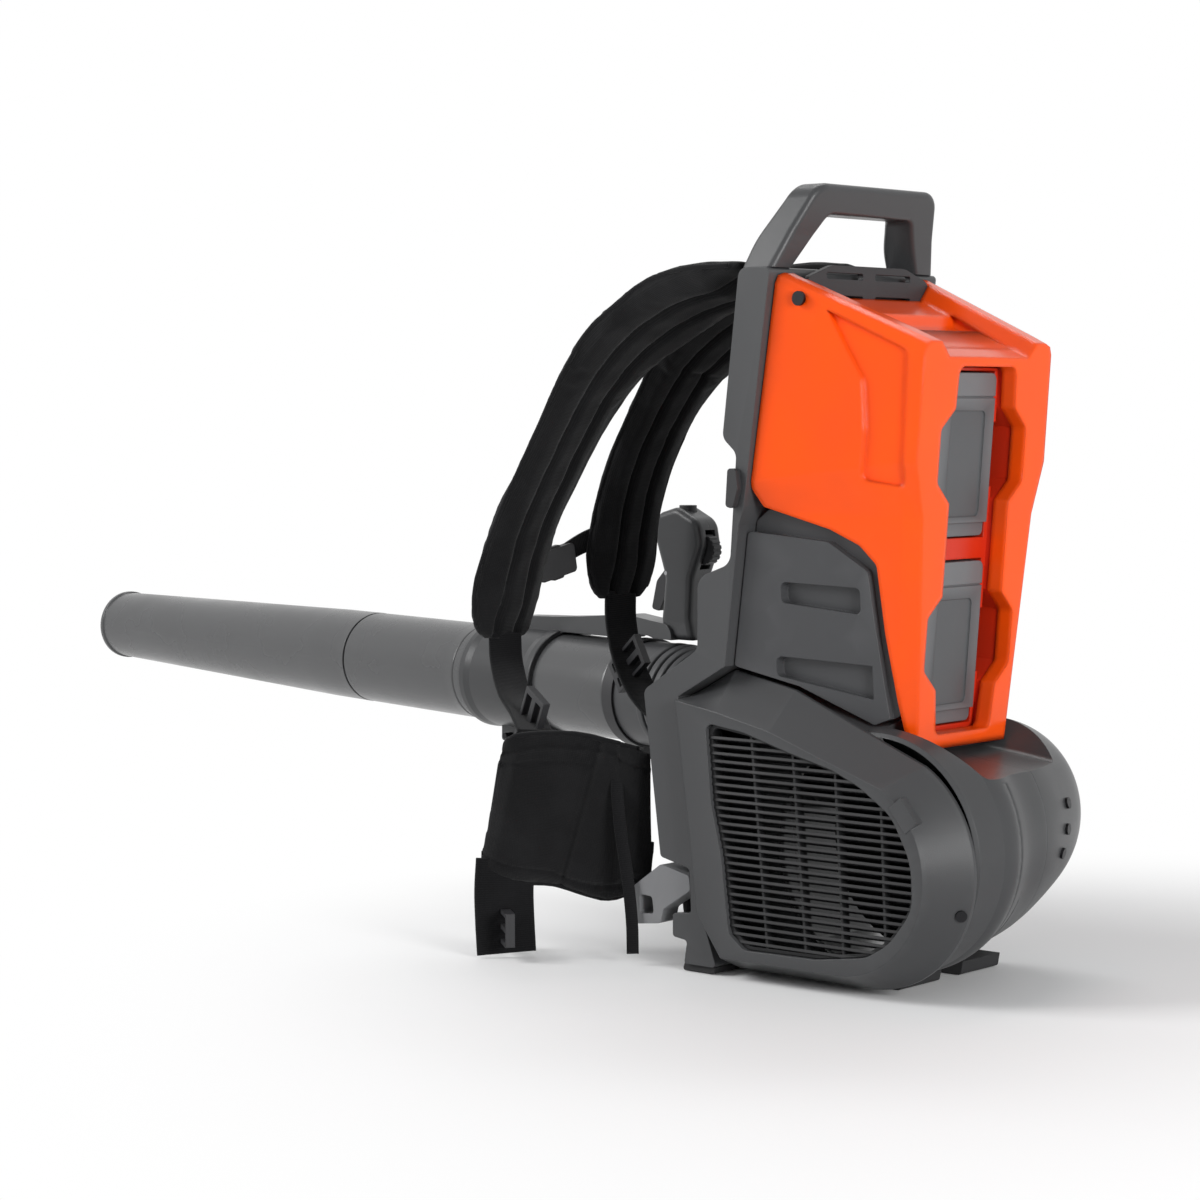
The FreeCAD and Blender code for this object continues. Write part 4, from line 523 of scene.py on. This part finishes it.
def mesh_object(name, verts, faces, uvs, mat, body, smooth=True):
    """Piece from vertices, faces and a UV in metres for each vertex, riding on a body where one is given."""
    mesh = bpy.data.meshes.new(name)
    mesh.from_pydata([tuple(v) for v in verts], [], faces)
    layer = mesh.uv_layers.new(name="cloth")
    for polygon in mesh.polygons:
        polygon.use_smooth = smooth
        for corner in polygon.loop_indices:
            layer.data[corner].uv = uvs[mesh.loops[corner].vertex_index]
    mesh.materials.append(mat)
    obj = new_object(name, mesh)
    if body:
        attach(obj, body)
    return obj


def loft(name, rings, mat, body, caps=True):
    """Skin closed rings of equal length; U runs along the loft and V round it, both in metres."""
    count = len(rings[0])
    verts, faces, uvs = [], [], []
    along = 0.0
    for k, ring in enumerate(rings):
        if k:
            before = sum(rings[k - 1], Vector()) / count
            along += (sum(ring, Vector()) / count - before).length
        around = 0.0
        for j, point in enumerate(ring):
            if j:
                around += (point - ring[j - 1]).length
            verts.append(point)
            uvs.append((along, around))
    for k in range(len(rings) - 1):
        for j in range(count):
            a, b = k * count + j, k * count + (j + 1) % count
            faces.append((a, b, b + count, a + count))
    if caps:
        faces.append(tuple(reversed(range(count))))
        faces.append(tuple(range((len(rings) - 1) * count, len(rings) * count)))
    return mesh_object(name, verts, faces, uvs, mat, body)


def make_binding(name, line, radius):
    """Round edge tape along a line."""
    rings = [circle(place, direction, Vector((0.3, 0.2, 1)), radius, 10)
             for place, direction in zip(line, directions(line))]
    loft(name, rings, FINISH["pad_border"], "machine")


def make_stitches(name, line):
    """Short raised threads along a line of (point, direction, outward) places."""
    verts, faces, uvs = [], [], []
    travelled, goal = 0.0, STITCH_PITCH
    for (before, _, _), (point, direction, outward) in zip(line, line[1:]):
        travelled += (point - before).length
        if travelled < goal:
            continue
        goal += STITCH_PITCH
        side = direction.cross(outward).normalized()
        start = len(verts)
        for end in (-STITCH_LENGTH / 2, STITCH_LENGTH / 2):
            for height, sideways, share in STITCH_ROWS:
                verts.append(point + direction * (end * share) + outward * height * STITCH_RADIUS
                             + side * sideways * STITCH_RADIUS)
                uvs.append((end, sideways * STITCH_RADIUS))
        faces += [tuple(start + corner for corner in face) for face in STITCH_FACES]
    mesh_object(name, verts, faces, uvs, FINISH["thread"], "machine", False)


# Hose.

def hose_path(distance):
    """Centre line and direction of the hose at a distance along it."""
    if distance <= HOSE_REAR:
        return HOSE_START + OUTLET_DIR * distance, OUTLET_DIR
    if distance >= HOSE_REAR + HOSE_BEND:
        return HOSE_END + TUBE_DIR * (distance - HOSE_LENGTH), TUBE_DIR
    t = (distance - HOSE_REAR) / HOSE_BEND
    u = 1 - t
    p0, p3 = HOSE_START + OUTLET_DIR * HOSE_REAR, HOSE_END - TUBE_DIR * HOSE_FRONT
    p1, p2 = p0 + OUTLET_DIR * HOSE_PULL, p3 - TUBE_DIR * HOSE_PULL
    point = p0 * u ** 3 + p1 * (3 * u * u * t) + p2 * (3 * u * t * t) + p3 * t ** 3
    tangent = (p1 - p0) * (3 * u * u) + (p2 - p1) * (6 * u * t) + (p3 - p2) * (3 * t * t)
    return point, tangent.normalized()


def hose_radius(distance):
    """Broad rounded crests with narrow grooves between them, and a plain cuff at each end."""
    if distance < RIBS_START or distance > RIBS_END:
        return HOSE_CUFF
    share = (distance - RIBS_START) / (RIBS_END - RIBS_START) * HOSE_RIBS % 1
    groove = math.exp(-((share - GROOVE_MIDDLE) / GROOVE_WIDTH) ** 4)
    crown = HOSE_CROWN * math.sin(math.pi * (share - GROOVE_END)) if share > GROOVE_END else 0
    return HOSE_CREST + crown - GROOVE_DEPTH * groove


def hose_half(name, start, end, steps=240, sides=64):
    """Stretch of the ribbed hose, open at both ends."""
    rings = []
    for k in range(steps + 1):
        distance = start + (end - start) * k / steps
        rings.append(circle(*hose_path(distance), Vector((0, 0, 1)), hose_radius(distance), sides))
    return loft(name, rings, FINISH["hose_rubber"], None, caps=False)


def make_hose():
    """Ribbed hose in two halves that meet end to end at the middle."""
    half = HOSE_LENGTH / 2
    rear = hose_half("hose_rear_half", 0.0, half)
    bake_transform(rear)
    front = hose_half("hose_front_half", half, HOSE_LENGTH)
    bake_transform(front)
    for part in (rear, front):
        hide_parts("bellows_hose")


# Padding.

def apply_modifiers(obj):
    """Keep the evaluated mesh as the piece's own."""
    bpy.context.view_layer.update()
    shaped = obj.evaluated_get(bpy.context.evaluated_depsgraph_get())
    mesh = bpy.data.meshes.new_from_object(shaped)
    obj.modifiers.clear()
    mesh.materials.clear()
    for slot in obj.data.materials:
        mesh.materials.append(slot)
    obj.data = mesh


def puff(obj, cap, voxel=0.0045, pressure=4.0, frames=20):
    """Blow a closed cloth form up a little, as stuffing does, and keep each point within the cap."""
    remesh = obj.modifiers.new("remesh", "REMESH")
    remesh.mode = "VOXEL"
    remesh.voxel_size = voxel
    apply_modifiers(obj)
    rest = [v.co.copy() for v in obj.data.vertices]
    cloth = obj.modifiers.new("cloth", "CLOTH")
    cloth.settings.quality = 4
    cloth.settings.use_pressure = True
    cloth.settings.uniform_pressure_force = pressure
    cloth.settings.effector_weights.gravity = 0
    for number in range(1, frames + 1):
        bpy.context.scene.frame_set(number)
    shaped = obj.evaluated_get(bpy.context.evaluated_depsgraph_get()).data
    moved = [v.co.copy() for v in shaped.vertices]
    obj.modifiers.clear()
    for vertex, was, now in zip(obj.data.vertices, rest, moved):
        step = now - was
        vertex.co = was + (step * (cap / step.length) if step.length > cap else step)
    bpy.context.scene.frame_set(1)
    obj.modifiers.new("smooth", "SUBSURF").levels = 1
    apply_modifiers(obj)
    for polygon in obj.data.polygons:
        polygon.use_smooth = True


def sewn_edges(obj, locate, length, count):
    """Smoothed lines along a puffed piece's lower and upper edge."""
    best = [[None, None] for _ in range(count)]
    for vertex in obj.data.vertices:
        along, across = locate(vertex.co)[:2]
        k = min(count - 1, max(0, int(along / length * count)))
        for side, sign in ((0, -1), (1, 1)):
            if best[k][side] is None or sign * across > sign * best[k][side][1]:
                best[k][side] = (vertex.co.copy(), across)
    smoothed = []
    for side in (0, 1):
        line = [row[side][0] for row in best if row[side]]
        windows = [line[max(0, i - 2):i + 3] for i in range(len(line))]
        smoothed.append([sum(window, Vector()) / len(window) for window in windows])
    return smoothed


def sew(obj, locate, sink):
    """Press channels into a puffed piece and lay its weave.

    locate gives a point's place along, across and above the piece, the outward direction there and anything
    more that sink needs; sink gives the depth.
    """
    mesh = obj.data
    places = []
    for vertex in mesh.vertices:
        along, across, height, outward, *more = locate(vertex.co)
        places.append((along, across))
        vertex.co -= outward * (math.copysign(1, height) * sink(along, across, height, *more))
    layer = mesh.uv_layers.new(name="cloth")
    for loop in mesh.loops:
        layer.data[loop.index].uv = places[loop.vertex_index]


# Shoulder harness.

def pad_frames(side, count):
    """Centre, direction, direction across and outward direction at even steps along a pad, and its length."""
    y, route = PAD_ROUTES_MM[side]
    places, length = catmull([(x * MM, y * MM, z * MM) for x, z in route], count)
    frames = []
    steady, lean = PAD_TWIST[side]
    level = Vector((0, 1, 0))
    for k, (centre, tangent) in enumerate(places):
        outward = level.cross(tangent).normalized()
        from_start = length * k / (count - 1)
        turn = Quaternion(tangent, steady + lean * bell(from_start - 0.10, 0.10))
        frames.append((centre, tangent, turn @ level, turn @ outward))
    return frames, length


def pad_width(from_start, from_end):
    """Share of the full width: drawn in at the top, broadest on the shoulder, a rounded tongue at the end."""
    width = min(1, 0.74 + 0.26 * from_start / 0.04) * (1 + 0.14 * bell(from_start - 0.13, 0.10))
    if from_end < PAD_TONGUE:
        width *= 0.55 + 0.45 * math.sqrt(max(0, 1 - (1 - from_end / PAD_TONGUE) ** 2))
    return width


def pad_thickness(from_start, from_end):
    """Full thickness, thinner at the ends."""
    return PAD_THICK * min(1, 0.5 + from_start / 0.03, 0.4 + 0.6 * math.sqrt(min(1, from_end / 0.015)))


def pad_sink(along, across, height):
    """Two sewn channels leave a roll down the middle and one along each edge; the rolls crease across."""
    deep = CHANNEL_DEPTH * bell(abs(across) - CHANNEL_OFFSET, CHANNEL_WIDTH)
    crease = 0.0007 * math.sin(along * 150 + 1.7 * math.sin(across * 90)) * math.sin(along * 37 + 0.6)
    return (0.8 if height > 0 else 1.0) * deep + crease * 0.6


def along_frames(frames, length):
    """Locator for a piece that follows a row of frames."""
    tree = KDTree(len(frames))
    for k, (centre, _, _, _) in enumerate(frames):
        tree.insert(centre, k)
    tree.balance()
    pitch = length / (len(frames) - 1)

    def locate(point):
        k = tree.find(point)[1]
        centre, tangent, across, outward = frames[k]
        offset = point - centre
        return k * pitch + offset.dot(tangent), offset.dot(across), offset.dot(outward), outward
    return locate


def surface_point(obj, point, outward):
    """Where a ray from outside, straight down on the pad, meets its face."""
    found, place, _, _ = obj.ray_cast(point + outward * 0.03, -outward)
    return place if found else None


def make_pad(side, count=200, half_points=18):
    """Stuffed shoulder pad with two sewn channels, bound edges and a seam on each side of a channel."""
    frames, length = pad_frames(side, count)
    rings = []
    for k, (centre, _, across, outward) in enumerate(frames):
        from_start, from_end = length * k / (count - 1), length * (1 - k / (count - 1))
        width = pad_width(from_start, from_end) * (PAD_HALF + PAD_DRAWN_IN)
        thick = pad_thickness(from_start, from_end)
        ring = []
        for j in range(2 * half_points):
            angle = math.pi * j / half_points
            u, v = -math.cos(angle), math.sin(angle)
            ring.append(centre + across * (u * width) + outward * (squarish(v, 0.45) * thick / 2))
        rings.append(ring)
    pad = loft(f"pad_{side}", rings, FINISH["pad_fabric"], None)
    puff(pad, cap=0.004)
    locate = along_frames(frames, length)
    sew(pad, locate, pad_sink)
    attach(pad, "machine")
    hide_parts(f"shoulder_pad_{side}")
    near_line, far_line = sewn_edges(pad, locate, length, 70)
    for name, edge, line in (("near", -1, near_line), ("far", 1, far_line)):
        make_binding(f"pad_{side}_binding_{name}", line, PAD_BINDING)
        for row, offset in SEAM_OFFSETS.items():
            seam = []
            for centre, tangent, across, outward in frames[SEAM_MARGIN:-SEAM_MARGIN]:
                hit = surface_point(pad, centre + across * (edge * offset), outward)
                if hit is not None:
                    seam.append((hit, tangent, outward))
            make_stitches(f"pad_{side}_seam_{name}_{row}", seam)


def make_webbing():
    """Flat straps with slightly thicker selvedges, carried along smooth paths."""
    profile = WEBBING_HALF + [(-a, -b) for a, b in WEBBING_HALF]
    for name, (route, width, thick, across, node, count) in WEBBING_MM.items():
        places, _ = catmull([Vector(p) * MM for p in route], count)
        level = Vector(across)
        rings = []
        for centre, tangent in places:
            outward = tangent.cross(level).normalized()
            side = outward.cross(tangent).normalized()
            rings.append([centre + side * (a * width * MM) + outward * (b * thick * MM) for a, b in profile])
        strap = loft(name, rings, FINISH["webbing_fabric"], "machine")
        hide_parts(node)


# Small walls that close views into the machine.

def make_slot_reveal():
    """Wall behind the side slot's far edge, in the leaning frame of the battery dock, in the darker orange
    that paints the slot's shade.
    """
    back = Vector((math.cos(DOCK_LEAN), 0, -math.sin(DOCK_LEAN)))
    up = Vector((math.sin(DOCK_LEAN), 0, math.cos(DOCK_LEAN)))
    outline = [(SLOT_SIDE_MM, SLOT_ENDS_MM[0])]
    for middle in NOTCH_MIDDLES_MM:
        low, high = middle - NOTCH_HALF_MM, middle + NOTCH_HALF_MM
        outline += [(SLOT_SIDE_MM, low - NOTCH_SLOPE_MM), (NOTCH_SIDE_MM, low + NOTCH_SLOPE_MM),
                    (NOTCH_SIDE_MM, high - NOTCH_SLOPE_MM), (SLOT_SIDE_MM, high + NOTCH_SLOPE_MM)]
    outline.append((SLOT_SIDE_MM, SLOT_ENDS_MM[1]))
    verts, faces, uvs = [], [], []
    for depth in REVEAL_REACH:
        for grow_mm in REVEAL_FACES_MM:
            for y, height in outline:
                sideways = Vector((0, (y + grow_mm) * MM, 0))
                verts.append(DOCK_ORIGIN + back * depth + up * (height * MM) + sideways)
                uvs.append((depth, height * MM))
    count = len(outline)
    corners = (0, count, 3 * count, 2 * count)
    for k in range(count - 1):
        for a, b in zip(corners, corners[1:] + corners[:1]):
            faces.append((a + k, b + k, b + k + 1, a + k + 1))
    faces.append(tuple(reversed(corners)))
    faces.append(tuple(corner + count - 1 for corner in corners))
    mesh_object("slot_reveal", verts, faces, uvs, FINISH["painted_shade_orange"], "machine", False)


def make_intake_baffle(count=64):
    """Dark plate that carries the bellmouth behind the louvres, out to the housing's wall, near black as
    painted shade.
    """
    corners = ((False, BAFFLE_FRONT), (True, BAFFLE_FRONT), (True, BAFFLE_BACK), (False, BAFFLE_BACK))
    verts, faces, uvs = [], [], []
    for j, (at_wall, y) in enumerate(corners):
        for k in range(count):
            angle = math.tau * k / count
            radius = BAFFLE_INNER
            if at_wall:
                wall = BAFFLE_WALL + BAFFLE_BULGE * math.cos(angle - math.radians(45))
                roof = BAFFLE_ROOF / max(math.sin(angle), 0.01)
                radius = max(BAFFLE_INNER + 0.001, min(wall, roof))
            verts.append(Vector((FAN_X + radius * math.cos(angle), y, FAN_Z + radius * math.sin(angle))))
            uvs.append((k / count, j / len(corners)))
    for j in range(len(corners)):
        a, b = j * count, (j + 1) % len(corners) * count
        for k in range(count):
            after = (k + 1) % count
            faces.append((a + k, b + k, b + after, a + after))
    mesh_object("intake_baffle", verts, faces, uvs, FINISH["painted_shade_interior"], "machine", False)


# Hip belt and lumbar pad.

def wing_ring(low, high, inward, swell, rows=24):
    """Closed ring up the inner face of a wing and down its outer face, rounded at both edges."""
    ring = []
    for j in range(2 * rows):
        inner_face = j < rows
        u = (j if inner_face else 2 * rows - j) / rows
        edge = min(u, 1 - u) * (high - low).length
        body = max(0.4, quarter_round(edge / 0.008))
        place = low.lerp(high, (1 + 2 * WING_DRAWN_IN) * u - WING_DRAWN_IN)
        ring.append(place + inward * (swell / 2 * body * (1 if inner_face else -1)))
    return ring


def make_wing(side):
    """Upright stuffed wing of the belt, from a lower to an upper edge, with a sewn border and two darts."""
    turn, stations = WINGS_MM[side]
    low, length = catmull([(x * MM, y * MM, z * MM) for x, _, y, z, _ in stations], WING_STEPS)
    high, _ = catmull([(x * MM, y * MM, z * MM) for _, x, y, _, z in stations], WING_STEPS)
    rings, frames = [], []
    for k, ((a, low_way), (b, high_way)) in enumerate(zip(low, high)):
        flat = (low_way + high_way).normalized()
        up = (b - a).normalized()
        inward = flat.cross(up).normalized() * turn
        end = min(k, WING_STEPS - 1 - k) / (WING_STEPS - 1)
        swell = WING_THICK * min(1, 0.4 + 0.6 * math.sqrt(min(1, end / 0.08)))
        frames.append(((a + b) / 2, flat, up, inward, (b - a).length))
        rings.append(wing_ring(a, b, inward, swell))
    wing = loft(f"wing_{side}", rings, FINISH["pad_fabric"], None)
    puff(wing, cap=0.0032)

    def locate(point):
        k = min(range(WING_STEPS), key=lambda i: abs((point - frames[i][0]).dot(frames[i][1])))
        centre, flat, up, inward, tall = frames[k]
        offset = point - centre
        return (length * k / (WING_STEPS - 1) + offset.dot(flat), offset.dot(up) + tall / 2,
                offset.dot(inward), inward, tall)

    def sink(along, across, height, tall):
        edge = min(across, tall - across)
        border = 0.0026 * bell(edge - WING_BORDER, 0.0018)
        fold = 0.0010 * math.sin(along * 85 + across * 30) * math.sin(math.pi * across / max(tall, 1e-6))
        dart = 0.0030 * bell(along - length * DART_ALONG, 0.0030)
        if along > length * DART_ALONG:
            dart += 0.0024 * bell(across - tall * DART_UP, 0.0022)
        return border + dart + fold * (0.7 if height > 0 else 0.4)

    bottom, top = sewn_edges(wing, locate, length, 40)
    sew(wing, locate, sink)
    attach(wing, "machine")
    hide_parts(f"hip_wing_{side}")
    front = [bottom[-1].lerp(top[-1], k / 12) for k in range(13)]
    for tag, line in (("low", bottom), ("high", top), ("front", front)):
        make_binding(f"wing_{side}_binding_{tag}", line, WING_BINDING)


def make_lumbar(rows=60, half_points=20):
    """Stuffed back pad with three cross channels, leaning with the frame's front edge."""
    up = Vector((-math.sin(LUMBAR_LEAN), 0, math.cos(LUMBAR_LEAN)))
    outward = Vector((-math.cos(LUMBAR_LEAN), 0, -math.sin(LUMBAR_LEAN)))
    rings = []
    for j in range(rows + 1):
        z = LUMBAR_LOW_MM + LUMBAR_TALL_MM * j / rows
        right = LUMBAR_HALF_MM
        if z > LUMBAR_CUT_MM:
            right = max(LUMBAR_NARROW_MM, LUMBAR_HALF_MM - (z - LUMBAR_CUT_MM) * LUMBAR_SLOPE)
        end = min(j, rows - j) / rows * LUMBAR_TALL_MM
        body = quarter_round((end + 1.5) / LUMBAR_ROUND_MM)
        middle, reach = (right - LUMBAR_HALF_MM) / 2, (right + LUMBAR_HALF_MM) / 2
        ring = []
        for k in range(2 * half_points):
            angle = math.pi * k / half_points
            y = middle + squarish(-math.cos(angle), 0.6) * reach
            depth = LUMBAR_DEPTH + squarish(math.sin(angle), 0.4) * LUMBAR_SWELL * body
            place = LUMBAR_FOOT + up * ((z - LUMBAR_FOOT_MM) * MM) + outward * depth
            ring.append(place + Vector((0, y * MM, 0)))
        rings.append(ring)
    pad = loft("lumbar_cushion", rings, FINISH["pad_fabric"], None)
    puff(pad, cap=0.003)

    def locate(point):
        offset = point - LUMBAR_FOOT
        tall = offset.dot(up) + LUMBAR_FOOT_MM * MM
        return offset.y, tall, offset.dot(outward) - LUMBAR_DEPTH, outward

    def sink(across, tall, height):
        if height < 0:
            return 0
        return sum(0.0034 * bell(tall - channel, 0.0026) for channel in LUMBAR_CHANNELS)

    sew(pad, locate, sink)
    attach(pad, "machine")
    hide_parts("lumbar_pad")


set_camera()
FINISH = make_materials()
dress_frame()
make_slot_reveal()
make_intake_baffle()
make_hose()
for side in ("left", "right"):
    make_pad(side)
    make_wing(side)
make_lumbar()
make_webbing()
set_stage()
